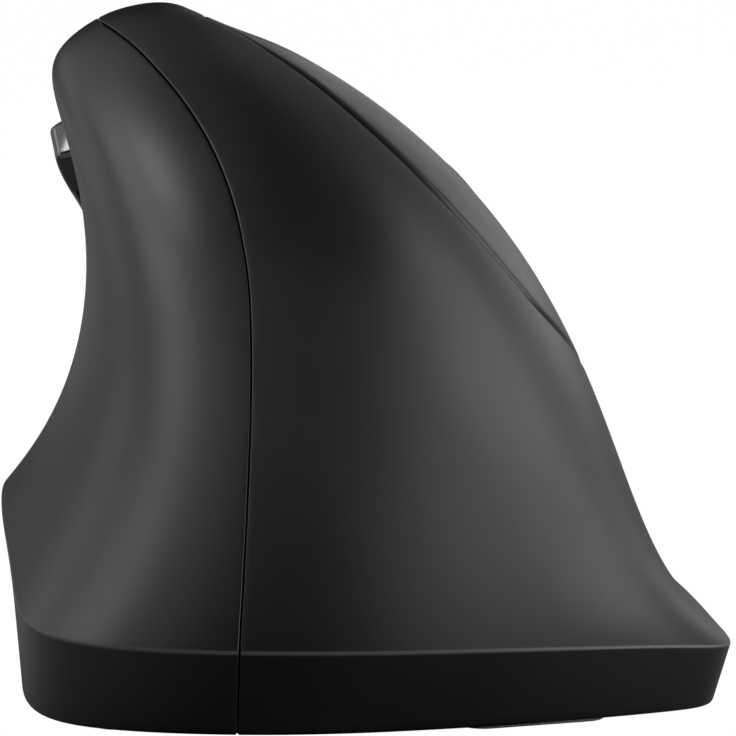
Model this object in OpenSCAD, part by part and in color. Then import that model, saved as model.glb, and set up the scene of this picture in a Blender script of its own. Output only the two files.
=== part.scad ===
// Vertical ergonomic mouse for the right hand, cordless.
// +X is the finger side, +Y the nose, +Z up, in millimetres.
// The origin lies on the desk under the middle of the housing.

/* [Housing] */
// Length of the housing from the wrist end to the nose
body_length = 120.4; // [114:0.2:128]
// Width of the housing across the two flared lips
body_width = 69.8; // [66:0.2:75]
// Height of the crest above the desk
body_height = 63.2; // [60:0.2:67]
// Thickness of the moulded shells
wall = 2.2; // [1.8:0.1:2.6]
// Height of the glide feet, which lift the skirt off the desk
foot_height = 0.8; // [0.6:0.1:1.2]
// Columns of the lofted skin around the body
skin_columns = 52; // [44:4:56]

/* [Seams] */
// Open seam round the click buttons
seam_gap = 0.6; // [0.4:0.1:0.8]
// Fine seam between the palm shell and the thumb panel, which both stand on the base
panel_gap = 0.3; // [0.2:0.05:0.5]
// Open seam under the front edge of the click buttons, which move there most
nose_gap = 1.3; // [1.1:0.1:1.8]
// Running gap round the small push buttons
key_gap = 0.35; // [0.3:0.05:0.5]

/* [Click buttons] */
// Lean of the finger face from the horizontal
face_tilt = 45; // [43:0.5:47]
// Skin thickness of the click buttons and the centre strip
skin_t = 2; // [1.6:0.1:2.4]
// Width of the strip between the two click buttons
strip_w = 12; // [11:0.5:13]
// Distance of the strip's middle from the middle of the finger face
strip_off = 4; // [3:0.5:5]
// Depth of the click buttons' front edge below the finger face
nose_depth = 24; // [22:0.5:26]
// Hinge line of the click buttons, behind the middle of the face
hinge_back = 10; // [9:0.5:11]
// Hinge line of the click buttons, below the middle of the face
hinge_depth = 8; // [7.5:0.1:8.5]
// Diameter of the hinge pins
pin_d = 2.4; // [2:0.1:2.6]
// Radial play of a pin in its bore
pin_play = 0.05; // [0.03:0.01:0.08]
// Forward distance of the click switches from the middle of the face
switch_fwd = 12.5; // [12:0.1:13]
// Thickness of the arms that carry the click buttons under the fixed cover
arm_t = 1.4; // [1.2:0.1:1.6]
// Gap between those arms and the cover
arm_gap = 0.4; // [0.35:0.05:0.5]
// Free travel left between a key and its switch
key_play = 0.5; // [0.45:0.05:0.7]

/* [Inner frame] */
// Depth of the frame's top face below the finger face
frame_depth = 12; // [11.5:0.1:12.5]
// Thickness of the frame plate
frame_t = 2; // [1.6:0.1:2.4]
// Thickness of the frame's two upright ribs
rib_t = 3; // [2.4:0.2:3.6]
// Thickness of the circuit boards
board_t = 1.6; // [1.2:0.1:1.8]
// Height of a small push switch
switch_h = 3.2; // [3:0.1:3.4]

/* [Scroll wheel] */
// Diameter of the scroll wheel over the tyre
wheel_d = 22; // [20:0.5:23]
// Width of the rubber tyre
tyre_w = 7; // [6:0.5:7.5]
// Thickness of the rubber tyre
tyre_t = 2.6; // [2:0.2:3]
// Height of the wheel above the strip
wheel_proud = 2.5; // [2.2:0.1:2.8]
// Forward distance of the wheel from the middle of the face
wheel_fwd = 30; // [29:0.5:31]
// Grooves across the tyre
tyre_grooves = 30; // [24:2:36]
// Diameter of the wheel axle
axle_d = 3; // [2.4:0.2:3.4]
// Thickness of the cradle's cheeks
cheek_t = 1.5; // [1.2:0.1:1.8]
// Gap between the cradle and its guide slot
guide_gap = 0.3; // [0.3:0.05:0.4]

/* [Thumb buttons] */
// Lean of the thumb face under the crest
thumb_lean = 16; // [13:0.5:19]
// Height of the thumb buttons along the face
thumb_h = 10; // [9:0.2:10.6]
// Length of each thumb button
thumb_l = 14.4; // [13:0.2:15]
// Height of the ridge along the thumb buttons above the panel
thumb_proud = 1.5; // [1.2:0.1:1.8]
// Depth of the thumb switches' board below the face
thumb_board = 9.8; // [9.4:0.1:10.4]

/* [Base] */
// Thickness of the base plate
base_t = 2.4; // [2.2:0.1:2.8]
// Gap between the base plate and the shells
base_fit = 0.2; // [0.15:0.05:0.35]
// Diameter of an AAA cell
cell_d = 10.5; // [10.3:0.1:10.5]
// Length of an AAA cell
cell_l = 44.5; // [43.5:0.1:44.5]
// Gap round each cell in its bay
cell_gap = 0.3; // [0.25:0.05:0.5]
// Thickness of the battery door
door_t = 1.8; // [1.6:0.1:2]
// Height of the main board's standoffs
standoff_h = 3.8; // [3.4:0.1:4.4]
// Thread diameter of the case screws
screw_d = 2.4; // [2:0.1:2.6]
// Travel of the power slider
power_travel = 3; // [2.5:0.1:3.5]

/* [Hidden] */
$fn = 48;

// Lofted skin. Four rails climb from the lip to the crest, rear, right, front and left,
// at a body of 120.4 by 69.8 by 63.2, which net_fit stretches to the set size.
net_size = [69.8, 120.4, 63.2];
crest = [-16.9, 4.4, 62.8];
rail_net = [
  [[-7.2, -60.6, 8], [-7.2, -56.6, 18], [-7.2, -50.6, 30], [-7.2, -41.6, 45], [-10.6, -30.6, 56], [-16.9, -12.7, 63.1], crest],
  [[36.3, -24.6, 6], [27, -15.6, 10], [25.2, -5.6, 20], [27, 0.4, 37.7], [6.6, 3.4, 52], [-0.9, 4.4, 57], crest],
  [[-8.3, 60.4, 6], [-9.3, 60.4, 18], [-10.3, 59.4, 30], [-13.2, 55.4, 42], [-16.6, 45.4, 51.2], [-16.9, 24.4, 62.4], crest],
  [[-32.1, -4.6, 15.5], [-27.8, 0.4, 23], [-17.2, 2.4, 38.5], [-29.6, 3.4, 69.6], [-39.6, 4.4, 45.3], [-26.6, 4.4, 67.8], crest]];
// Fullness of the rings between two rails, at the lip and at the crest
fullness = [[2.4, 2.1], [2.2, 2.1], [2.3, 2.2], [2.6, 2.2]];
// Crisp lip and the skirt's lower edge, five points to a quarter, from the rear round by the right
lip_net = [[-7.2, -60.2, 8.2], [6.8, -58.6, 8], [19.2, -55.2, 7.7], [29.8, -50.6, 7.1], [34.6, -46.1, 6.5],
  [34.4, -35.6, 6.5], [33, -14.6, 6.2], [30.2, 8.4, 6], [25.2, 30.4, 6], [15.2, 49.4, 6],
  [-0.2, 59.4, 6], [-12.2, 58.4, 6.3], [-22.8, 49.4, 7.2], [-29.8, 33.4, 9.2], [-33.8, 13.4, 12.8],
  [-34.9, -3.6, 15.3], [-33.8, -18.6, 13.9], [-31.6, -34.6, 11.2], [-28.8, -49.6, 9], [-20.8, -57.6, 8.3]];
hem_net = [[-7.2, -59.8], [6.2, -57.8], [17.8, -54.1], [28.2, -49.6], [33, -45.2],
  [32.8, -34.8], [31, -14.2], [28, 7.9], [23.4, 28.9], [14, 47.4],
  [-0.2, 57.2], [-11.8, 56.3], [-21.2, 47.9], [-27.8, 32.4], [-30.8, 12.9],
  [-31.6, -3.6], [-31.2, -18.6], [-30.6, -34.6], [-28.4, -48.9], [-21.4, -57.2]];
// Share of each rail that the lip pulls along with it
lip_reach = 0.6;

function net_fit(p) = [p.x * body_width / net_size.x, p.y * body_length / net_size.y,
  foot_height + (p.z - 0.8) * (body_height - foot_height) / (net_size.z - 0.8)];
rails = [for (r = rail_net) [for (p = r) net_fit(p)]];
lip_ctrl = spline_ctrl([for (p = lip_net) net_fit(p)]);
hem_ctrl = spline_ctrl([for (p = hem_net) net_fit([p.x, p.y, 0.8])]);

// Control points of a closed cubic spline that passes through the given points
function spline_ctrl(p, c = undef, k = 14) = let (n = len(p), d = is_undef(c) ? p : c)
  k == 0 ? d : spline_ctrl(p, [for (i = [0 : n - 1]) d[i] + p[i] - (d[(i + n - 1) % n] + 4 * d[i] + d[(i + 1) % n]) / 6], k - 1);
// Point of that spline, with u running from 0 to 4 around the body
function spline_at(c, u) = let (n = len(c), t = (u - 4 * floor(u / 4)) * n / 4, i = floor(t), f = t - i)
  (pow(1 - f, 3) * c[(i + n - 1) % n] + (3 * pow(f, 3) - 6 * f * f + 4) * c[i % n]
  + (-3 * pow(f, 3) + 3 * f * f + 3 * f + 1) * c[(i + 1) % n] + pow(f, 3) * c[(i + 2) % n]) / 6;
function lip_at(u) = spline_at(lip_ctrl, u);
function hem_at(u) = spline_at(hem_ctrl, u);

// Ring of the skin at height w, 0 at the lip and 1 at the crest
function bernstein(w) = let (b = [1, 6, 15, 20, 15, 6, 1]) [for (k = [0 : 6]) b[k] * pow(w, k) * pow(1 - w, 6 - k)];
function ring_at(u, w) = let (v = u - 4 * floor(u / 4), q = min(3, floor(v)), a = (v - q) * 90,
    m = bernstein(w), A = m * rails[q], B = m * rails[(q + 1) % 4],
    n = fullness[q][0] + (fullness[q][1] - fullness[q][0]) * w,
    s = pow(sin(a), 2 / n), c = pow(cos(a), 2 / n), z = A.z + (B.z - A.z) * pow(sin(a), 2))
  q % 2 == 0 ? [A.x + (B.x - A.x) * s, B.y + (A.y - B.y) * c, z] : [B.x + (A.x - B.x) * c, A.y + (B.y - A.y) * s, z];
function skin_at(u, w) = w >= lip_reach ? ring_at(u, w)
  : ring_at(u, w) + pow(1 - w / lip_reach, 3) * (lip_at(u) - ring_at(u, 0));
function unit(v) = v / norm(v);
function skin_normal(u, w) = w > 0.999 ? unit([0.36, 0.02, 1]) : let (e = 0.02, lo = max(0, w - 0.01), hi = min(0.998, w + 0.01))
  unit(cross(skin_at(u + e, w) - skin_at(u - e, w), skin_at(u, hi) - skin_at(u, lo)));
function hem_normal(u) = let (t = hem_at(u + 0.02) - hem_at(u - 0.02)) unit([t.y, -t.x, 0]);

// Row of the housing's side: -1 is the hem of the skirt, 0 the lip, 1 the crest
function side_at(u, v, off) = v < 0 ? hem_at(u) + off * hem_normal(u) : skin_at(u, v) + (off == 0 ? [0, 0, 0] : off * skin_normal(u, v));

// Points on a smooth open line through the given points
function line_through(p, n = 3) = let (m = len(p) - 1) concat([for (i = [0 : m - 1], k = [0 : n - 1]) let (t = k / n,
    a = p[max(0, i - 1)], b = p[i], c = p[i + 1], d = p[min(m, i + 2)])
  b + 0.5 * (t * (c - a) + t * t * (2 * a - 5 * b + 4 * c - d) + t * t * t * (3 * b - a - 3 * c + d))], [p[m]]);
// The same line set off to its right, and a closed loop set off outwards
function line_offset(p, d) = [for (i = [0 : len(p) - 1]) let (t = unit(p[min(len(p) - 1, i + 1)] - p[max(0, i - 1)])) p[i] + d * [t.y, -t.x]];
function loop_offset(p, d) = let (n = len(p)) [for (i = [0 : n - 1]) let (t = unit(p[(i + 1) % n] - p[(i + n - 1) % n])) p[i] + d * [t.y, -t.x]];

// Thumb seam as it looks from the wrist, from the desk over the crest
seam_net = [[-10, -8], [-9.5, 8], [-9.2, 14], [-8.9, 21], [-8.7, 29], [-8.9, 37], [-9.6, 42], [-10.9, 46.6],
  [-12.9, 50.8], [-15.4, 54.3], [-18.2, 57.2], [-21.6, 59.9], [-25.6, 61.7], [-32, 62.9], [-44, 63.3]];
seam_line = line_through([for (p = seam_net) let (q = net_fit([p.x, 0, p.y])) [q.x, q.z]], 3);
far = 2 * body_length;

// Finger face: a frame on the skin with its x down the face, y forward and z outward
face_uw = [0.965, 0.669];
face_o = skin_at(face_uw.x, face_uw.y);
function to_face(q) = let (d = q - face_o) [d.x * cos(face_tilt) - d.z * sin(face_tilt), d.y, d.x * sin(face_tilt) + d.z * cos(face_tilt)];
// Outline of the click buttons on that face, from the crest round by the wrist and the nose
button_net = [[-26.6, 4], [-25.4, -2.8], [-21.6, -9.6], [-16, -14], [-10, -17.8], [-3.5, -20.6], [3.4, -22.2], [10.6, -22.2],
  [16.6, -19.8], [21, -14.6], [23.6, -10], [26.2, 0], [26.8, 12], [25.4, 26], [22.5, 40], [18, 52], [13, 64],
  [9.5, 64], [4.5, 56], [-1.5, 50], [-10.6, 40], [-17.6, 30], [-22.6, 20], [-25.8, 12]];
button_points = 60;
long_fit = body_length / net_size.y;
// Stretch down the face, which leans between the width and the height
face_wide = (body_width / net_size.x + body_height / net_size.z) / 2;
function face_fit(p) = [p.x * face_wide, p.y * long_fit];
// Place in plan that follows the housing's length and width
function plan_fit(p) = [p.x * body_width / net_size.x, p.y * long_fit];
// Front edge of the fixed cover behind the click buttons, on the same face
cover_net = [[-60, 13], [-26, 13], [-2, 9], [10, 5.5], [26, 3], [60, 3]];
cover_line = [for (p = cover_net) face_fit(p)];
function cover_y(p) = lookup(p, cover_line);
function cover_edge(x0, x1, d) = [for (p = concat([x0], [for (c = cover_line) if (c.x > x0 && c.x < x1) c.x], [x1])) [p, cover_y(p) + d]];
button_ctrl = spline_ctrl([for (p = button_net) face_fit(p)]);
button_line = [for (i = [0 : button_points - 1]) spline_at(button_ctrl, 4 * i / button_points)];

// Thumb face: a frame on the skin with its x up the face, y forward and z outward
thumb_uw = [2.905, 0.425];
thumb_o = skin_at(thumb_uw.x, thumb_uw.y);
thumb_turn = -90 - thumb_lean;
function to_thumb(q) = let (d = q - thumb_o) [d.x * cos(thumb_turn) - d.z * sin(thumb_turn), d.y, d.x * sin(thumb_turn) + d.z * cos(thumb_turn)];

// Height of the skin over a place on a face, found by stepping u and w
function face_seek(p, y, s, k = 9) = k == 0 ? s : let (e = 0.004,
    f = to_face(skin_at(s.x, s.y)), fu = (to_face(skin_at(s.x + e, s.y)) - f) / e, fw = (to_face(skin_at(s.x, s.y + e)) - f) / e,
    det = fu.x * fw.y - fu.y * fw.x, a = p - f.x, b = y - f.y)
  face_seek(p, y, [s.x + (a * fw.y - b * fw.x) / det, min(0.95, s.y + (b * fu.x - a * fu.y) / det)], k - 1);
function face_z(p, y) = let (s = face_seek(p, y, [y < 0 ? 0.85 : 1.2, 0.62])) to_face(skin_at(s.x, s.y)).z;
function thumb_seek(t, y, s, k = 9) = k == 0 ? s : let (e = 0.004,
    f = to_thumb(skin_at(s.x, s.y)), fu = (to_thumb(skin_at(s.x + e, s.y)) - f) / e, fw = (to_thumb(skin_at(s.x, s.y + e)) - f) / e,
    det = fu.x * fw.y - fu.y * fw.x, a = t - f.x, b = y - f.y)
  thumb_seek(t, y, [s.x + (a * fw.y - b * fw.x) / det, s.y + (b * fu.x - a * fu.y) / det], k - 1);
function thumb_z(t, y) = let (s = thumb_seek(t, y, [2.8, 0.5])) to_thumb(skin_at(s.x, s.y)).z;

// Heights and places that pieces share
base_top = foot_height + base_t;
frame_z = -frame_depth;
board_z = frame_z + board_t;
switch_z = board_z + switch_h;
nub_h = 0.6;
click_leg_z = switch_z + nub_h + key_play;
hinge_at = [-hinge_back, -hinge_depth];
wheel_y = wheel_fwd * long_fit;
wheel_z = face_z(strip_off, wheel_y) + wheel_proud - wheel_d / 2;
cheek_in = tyre_w / 2 + 0.6;
cheek_out = cheek_in + cheek_t;
cradle_floor = wheel_z - wheel_d / 2 - 2.2;
middle_z = cradle_floor - key_play - nub_h - 0.1;
dpi_y = wheel_y - 16.5;
dpi_size = [5, 7];
dpi_proud = 0.15;
// Posts that carry the centre strip on the frame
strip_posts = [-13.9, dpi_y - 8];
frame_x = [-15, 22] * face_wide;
frame_y = [-16.5, 34];
slot_y = wheel_y - 12.5;
board_box = [[-13 * face_wide, -6.5], [20 * face_wide, slot_y - 0.5]];
left_ears = [-11.5, -6.5] * face_wide;
right_ears = [15.4, 17.9] * face_wide;
left_posts = [-14.4, -3.4] * face_wide;
right_posts = [12.6, 20.6] * face_wide;
// Places of the two click switches across the face, and the base of a small push switch
click_xs = [-9, 15] * face_wide;
click_switch = [5, 8];
push_base = [6, 6];
ear_t = 2;
foot_x = [-8, -1.6];
rib_ys = [-13, 15];
cell_z = foot_height + door_t + cell_gap + cell_d / 2;
cell_xs = [6, 6 + cell_d + 2 * cell_gap - 0.1];
bay_t = 1.5;
bay_x = [cell_xs[0] - cell_d / 2 - cell_gap, cell_xs[1] + cell_d / 2 + cell_gap];
contact_t = 0.5;
bay_y = [4.5 - cell_l - contact_t, 4.5 + contact_t];
door_x = [bay_x[0] + 0.8, bay_x[1] - 0.8];
door_y = [bay_y[0] - 4, bay_y[1] - 1.6];
door_pin = [door_y[0] + 1.3, foot_height + 1.1];
door_pin_d = 1.6;
door_gap = 0.3;
pcb_z = base_top + standoff_h;
standoffs = [for (p = [[-23, -19], [-12.5, -19], [-21.5, 29], [-12.5, 29]]) plan_fit(p)];
standoff_d = 4.4;
pcb_edge = [2.5, 3];
pcb_box = [standoffs[0] - pcb_edge, standoffs[3] + pcb_edge];
sensor_at = plan_fit([-17, 4]);
power_at = plan_fit([-17, -32]);
boss_z = foot_height + 4.2;
palm_bosses = [plan_fit([-2, -52]), plan_fit([16, 30])];
thumb_bosses = [plan_fit([-21, -45]), plan_fit([-13, 45])];
boss_d = 6.4;
head_d = 4.6;
head_h = 1.8;
screw_l = 9;
// Glide feet: place, length and direction
feet = [[[-14, -52.2], 18, -8], [[16.5, -49.2], 14, 20], [[-6, 51], 16, 0], [[20, 17], 10, 102], [[-26, 0], 14, 90]];
foot_w = 4.6;
thumb_ys = [-thumb_l - 0.4, 0.4];
// Lower and upper edge of the thumb switches' board, its clipped corner, and its posts on the thumb face
thumb_pcb_x = [-9.5, 3];
thumb_pcb_clip = [6, 10.5];
thumb_posts = [[-2, thumb_ys[0] - 3.8], [-7, thumb_ys[1] + thumb_l + 2.5]];
post_d = 4;
flange_t = 0.8;

// A face of quads between two rows of points, as triangles, seen from outside
function quads(a, n, flip) = [for (i = [0 : n - 1]) let (p = a[0][i], q = a[1][i], r = a[1][i + 1], s = a[0][i + 1])
  each flip ? [[p, r, q], [p, s, r]] : [[p, q, r], [p, r, s]]];

// Slab of the skin over the columns us and the rows vs, between two offsets
module skin_slab(us, vs, out, inn) {
  n = len(us); m = len(vs);
  function id(s, j, i) = s * n * m + j * n + i;
  function row(s, j) = [for (i = [0 : n - 1]) id(s, j, i)];
  function col(s, i) = [for (j = [0 : m - 1]) id(s, j, i)];
  polyhedron(concat([for (v = vs, u = us) side_at(u, v, out)], [for (v = vs, u = us) side_at(u, v, inn)]),
    concat([for (s = [0, 1], j = [0 : m - 2]) each quads([row(s, j), row(s, j + 1)], n - 1, s == 1)],
      quads([row(1, 0), row(0, 0)], n - 1, false), quads([row(0, m - 1), row(1, m - 1)], n - 1, false),
      quads([col(0, 0), col(1, 0)], m - 1, false), quads([col(1, n - 1), col(0, n - 1)], m - 1, false)));
}

// Whole shell of the housing, open below, or a solid core when it has one skin
module skin_shell(out, inn, vs, solid = false) {
  n = skin_columns; m = len(vs); us = [for (i = [0 : n - 1]) 4 * i / n];
  function id(s, j, i) = s * (n * m + 1) + j * n + i % n;
  function row(s, j) = [for (i = [0 : n]) id(s, j, i)];
  function tip(s) = id(s, m, 0);
  function top(off) = let (v = vs[m - 1]) v > 0.99 ? side_at(0, 1, off) : [face_o.x - 10, 0, side_at(0, v, off).z];
  skins = solid ? [[0, out]] : [[0, out], [1, inn]];
  ups = vs[m - 1] > 0.99 ? m - 1 : m;
  polyhedron([for (s = skins) each concat([for (v = vs, u = us) side_at(u, min(v, 0.985), s[1])], [top(s[1])])],
    concat([for (s = skins, j = [0 : m - 2]) each quads([row(s[0], j), row(s[0], j + 1)], n, s[0] == 1)],
      [for (s = skins, i = [0 : n - 1]) s[0] == 0 ? [id(0, m - 1, i), tip(0), id(0, m - 1, i + 1)] : [id(1, m - 1, i), id(1, m - 1, i + 1), tip(1)]],
      solid ? [[for (i = [0 : n - 1]) id(0, 0, i)]] : quads([row(1, 0), row(0, 0)], n, false)));
}
skin_rows = [-1, 0, 0.05, 0.11, 0.18, 0.26, 0.34, 0.42, 0.5, 0.57, 0.64, 0.71, 0.78, 0.84, 0.89, 0.93, 0.965, 1];
function rows_between(a, b) = [for (v = skin_rows) if (v >= a && v <= b) v];
function cols_between(a, b) = [for (i = [ceil(a * skin_columns / 4) : floor(b * skin_columns / 4)]) 4 * i / skin_columns];

module in_face(p = [0, 0, 0]) { translate(face_o) rotate([0, face_tilt, 0]) translate(p) children(); }
module in_thumb(p = [0, 0, 0]) { translate(thumb_o) rotate([0, thumb_turn, 0]) translate(p) children(); }
// Box between two corners
module block(a, b) { translate(a) cube(b - a); }
// Bar with round ends, along y
module bar(w, l, h) {
  translate([-w / 2, -(l - w) / 2, 0]) cube([w, l - w, h]);
  for (s = [-1, 1]) translate([0, s * (l - w) / 2, 0]) cylinder(d = w, h = h);
}
// Everything on the thumb's side of the seam, set off by d
module thumb_side(d) {
  rotate([90, 0, 0]) linear_extrude(2 * far, center = true)
    polygon(concat(line_offset(seam_line, d), [[-far, body_height], [-far, -far / 4], [seam_line[0].x, -far / 4]]));
}
// Everything over the click buttons' outline, grown by d, down to a depth
module button_well(d, depth) {
  in_face([0, 0, -depth]) linear_extrude(depth + 30) polygon(loop_offset(button_line, d));
}
// Screw boss with a web to the shell beside it
module boss(at, web) {
  translate([at.x, at.y, boss_z]) cylinder(d = boss_d, h = 9);
  translate([at.x, at.y, boss_z]) rotate([0, 0, web]) translate([0, -1, 0]) cube([16, 2, 9]);
}
module boss_bore(at) { translate([at.x, at.y, boss_z - 1]) cylinder(d = screw_d + 0.1, h = screw_l); }

module palm_shell() {
  color("#2b2c2e") difference() {
    union() {
      difference() { skin_shell(0, -wall, skin_rows); thumb_side(panel_gap / 2); button_well(seam_gap / 2, nose_depth + nose_gap); }
      intersection() {
        skin_shell(-wall / 2, 0, rows_between(-1, 0.3), true);
        union() { boss(palm_bosses[0], -90); boss(palm_bosses[1], 20); }
      }
    }
    for (b = palm_bosses) boss_bore(b);
  }
}

module thumb_panel() {
  color("#36383a") difference() {
    union() {
      intersection() { skin_slab(cols_between(1.75, 4.2), rows_between(-1, 0.94), 0, -wall); thumb_side(-panel_gap / 2); }
      intersection() {
        skin_shell(-wall / 2, 0, rows_between(-1, 0.3), true);
        union() { boss(thumb_bosses[0], 200); boss(thumb_bosses[1], 100); }
      }
      for (s = thumb_posts) in_thumb([s.x, s.y, -thumb_board]) cylinder(d = post_d, h = thumb_z(s.x, s.y) - wall / 2 + thumb_board);
    }
    for (b = thumb_bosses) boss_bore(b);
    in_thumb([0, 0, -7]) linear_extrude(14) polygon(key_outline(thumb_ys[0], thumb_ys[1] + thumb_l, thumb_h, key_gap));
  }
}

// Everything in front of the fixed cover between two lines across the face
module click_zone(x0, x1) {
  in_face([0, 0, -nose_depth - 1]) linear_extrude(nose_depth + 31) polygon(concat(cover_edge(x0, x1, seam_gap), [[x1, far / 3], [x0, far / 3]]));
}
// Click button between two lines across the face, with its hinge arm, ears and switch leg
module click_button(x0, x1, ears, leg_x) {
  a = ears[0] - ear_t / 2; b = ears[1] + ear_t / 2; rear = hinge_at.x - 2; front = switch_fwd + 2.5;
  top = min([for (x = [a, b], y = [rear, cover_y(x)]) face_z(x, y)]) - skin_t - arm_gap;
  low = max(top - arm_t, click_leg_z);
  intersection() {
    skin_slab(cols_between(0.1, 2.3), rows_between(0.1, 0.97), 0, -skin_t);
    button_well(-seam_gap / 2, nose_depth);
    click_zone(x0, x1);
  }
  in_face() {
    block([a, rear, low], [b, front, top]);
    for (x = ears) {
      r = cover_y(x - ear_t / 2) + seam_gap + arm_gap;
      block([x - ear_t / 2, rear, hinge_at.y - 1.6], [x + ear_t / 2, hinge_at.x + 2, top]);
      block([x - ear_t / 2, r, low], [x + ear_t / 2, front, min([for (s = [-1, 1], y = [r, front]) face_z(x + s * ear_t / 2, y)]) - skin_t * 0.6]);
    }
    translate([leg_x, switch_fwd, click_leg_z]) cylinder(d = 4, h = top - click_leg_z);
  }
}
module hinge_pin(x0, x1) { in_face([x0, hinge_at.x, hinge_at.y]) rotate([0, 90, 0]) cylinder(d = pin_d, h = x1 - x0); }

module left_button() {
  color("#303133") {
    click_button(-far / 4, strip_off - strip_w / 2 - seam_gap, left_ears, click_xs[0]);
    hinge_pin(left_posts[0] - ear_t / 2, left_posts[1] + ear_t / 2);
  }
}
module right_button() {
  color("#303133") {
    click_button(strip_off + strip_w / 2 + seam_gap, far / 4, right_ears, click_xs[1]);
    hinge_pin(right_posts[0] - ear_t / 2, right_posts[1] + ear_t / 2);
  }
}

// Fixed cover behind the click buttons with a tongue between them
module centre_strip() {
  low = strip_off - strip_w / 2;
  color("#2e2f31") difference() {
    union() {
      intersection() {
        skin_slab(cols_between(0.1, 2.3), rows_between(0.1, 0.97), 0, -skin_t);
        button_well(-seam_gap / 2, nose_depth);
        in_face([0, 0, -nose_depth - 1]) linear_extrude(nose_depth + 31) union() {
          polygon(concat(cover_edge(-far / 4, far / 4, 0), [[far / 4, -far / 4], [-far / 4, -far / 4]]));
          translate([low, -far / 4]) square([strip_w, far]);
        }
      }
      for (y = strip_posts) in_face([strip_off, y, frame_z]) cylinder(d = post_d, h = face_z(strip_off, y) - skin_t * 0.6 - frame_z);
    }
    in_face([strip_off, wheel_y + 1.5, -nose_depth]) bar(tyre_w + 1, wheel_d + 1.5, nose_depth + 10);
    in_face([strip_off, dpi_y, -8]) bar(dpi_size.x + 2 * key_gap, dpi_size.y + 2 * key_gap, 16);
  }
}

module button_frame() {
  rib_low = base_top;
  color("#3a3c3f") difference() {
    union() {
      in_face() block([frame_x[0], frame_y[0], frame_z - frame_t], [frame_x[1], slot_y, frame_z]);
      in_face() block([frame_x[0], slot_y, frame_z - frame_t], [strip_off - cheek_out - guide_gap, frame_y[1], frame_z]);
      in_face() block([strip_off + cheek_out + guide_gap, slot_y, frame_z - frame_t], [frame_x[1] - 2, frame_y[1], frame_z]);
      in_face() for (x = concat(left_posts, right_posts))
        block([x - ear_t / 2, hinge_at.x - 2.2, frame_z - 0.5], [x + ear_t / 2, hinge_at.x + 2.2, hinge_at.y + 2.2]);
      // Tail under the wheel that carries the middle switch
      in_face() block([strip_off - cheek_out, slot_y - 1.6, middle_z - switch_h - 1.6], [strip_off + cheek_out, slot_y, frame_z - frame_t / 2]);
      in_face() block([strip_off - cheek_out, slot_y - 1.6, middle_z - switch_h - 1.6], [strip_off + cheek_out, wheel_y + 5, middle_z - switch_h]);
      for (y = rib_ys) translate([0, y + rib_t / 2, 0]) rotate([90, 0, 0]) linear_extrude(rib_t) polygon([
        [foot_x[0], rib_low], [foot_x[1], rib_low], [foot_x[1], 17], [foot_x[1] + 12, frame_under(foot_x[1] + 12)],
        [foot_x[0] - 1, frame_under(foot_x[0] - 1)], [foot_x[0], frame_under(foot_x[0]) - 14]]);
    }
    for (xs = [left_posts, right_posts]) in_face([xs[0] - ear_t, hinge_at.x, hinge_at.y]) rotate([0, 90, 0]) cylinder(d = pin_d + 2 * pin_play, h = xs[1] - xs[0] + 2 * ear_t);
  }
}
// Height of the frame plate's middle above the desk at a place x
function frame_under(x) = let (c = frame_z - frame_t / 2) face_o.z + c * cos(face_tilt) - (x - face_o.x - c * sin(face_tilt)) * tan(face_tilt);

module board(a, b, holes = []) {
  difference() { block([a.x, a.y, 0], [b.x, b.y, board_t]); for (h = holes) translate([h.x, h.y, -1]) cylinder(d = h.z, h = board_t + 2); }
}
module button_pcb() {
  color("#1d5b3a") in_face([0, 0, frame_z]) board(board_box[0], board_box[1], [[strip_off, strip_posts[1], post_d + 0.8]]);
}
// Push switch with a round nub
module push_switch(base) {
  translate([-base.x / 2, -base.y / 2, 0]) cube([base.x, base.y, switch_h]);
  cylinder(d = 2, h = switch_h + nub_h);
}
module left_switch() { color("#1b1b1c") in_face([click_xs[0], switch_fwd, board_z]) push_switch(click_switch); }
module right_switch() { color("#1b1b1c") in_face([click_xs[1], switch_fwd, board_z]) push_switch(click_switch); }
module dpi_switch() { color("#1b1b1c") in_face([strip_off, dpi_y, board_z]) push_switch(push_base); }
module middle_switch() { color("#1b1b1c") in_face([strip_off, wheel_y, middle_z - switch_h]) push_switch(push_base); }

module dpi_button() {
  top = face_z(strip_off, dpi_y);
  lip = [dpi_size.x, dpi_size.y] + [2, 2];
  low = min([for (x = [-1, 1], y = [-1, 1]) face_z(strip_off + x * lip.x / 2, dpi_y + y * lip.y / 2)]) - skin_t - key_gap - flange_t;
  color("#0f0f10") in_face([strip_off, dpi_y, 0]) {
    translate([0, 0, click_leg_z]) bar(dpi_size.x, dpi_size.y, top + dpi_proud - click_leg_z);
    translate([0, 0, low]) bar(lip.x, lip.y, flange_t);
  }
}

module wheel_hub() {
  r = wheel_d / 2 - tyre_t;
  color("#4a4c50") in_face([strip_off, wheel_y, wheel_z]) rotate([0, 90, 0]) {
    difference() {
      translate([0, 0, -tyre_w / 2 + 0.4]) cylinder(r = r, h = tyre_w - 0.8);
      for (s = [-1, 1], k = [0 : 5]) rotate([0, 0, 60 * k]) translate([r * 0.58, 0, s * tyre_w / 2 - 1.4]) cylinder(d = r * 0.42, h = 2.8);
    }
    translate([0, 0, -cheek_out]) cylinder(d = axle_d, h = 2 * cheek_out);
  }
}
module wheel_tyre() {
  color("#1a1a1b") in_face([strip_off, wheel_y, wheel_z]) rotate([0, 90, 0]) difference() {
    translate([0, 0, -tyre_w / 2]) cylinder(d = wheel_d, h = tyre_w);
    translate([0, 0, -tyre_w]) cylinder(d = wheel_d - 2 * tyre_t, h = 2 * tyre_w);
    for (k = [1 : tyre_grooves]) rotate([0, 0, 360 * k / tyre_grooves]) translate([wheel_d / 2, 0, -tyre_w]) cylinder(d = 1.1, h = 2 * tyre_w);
  }
}
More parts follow.
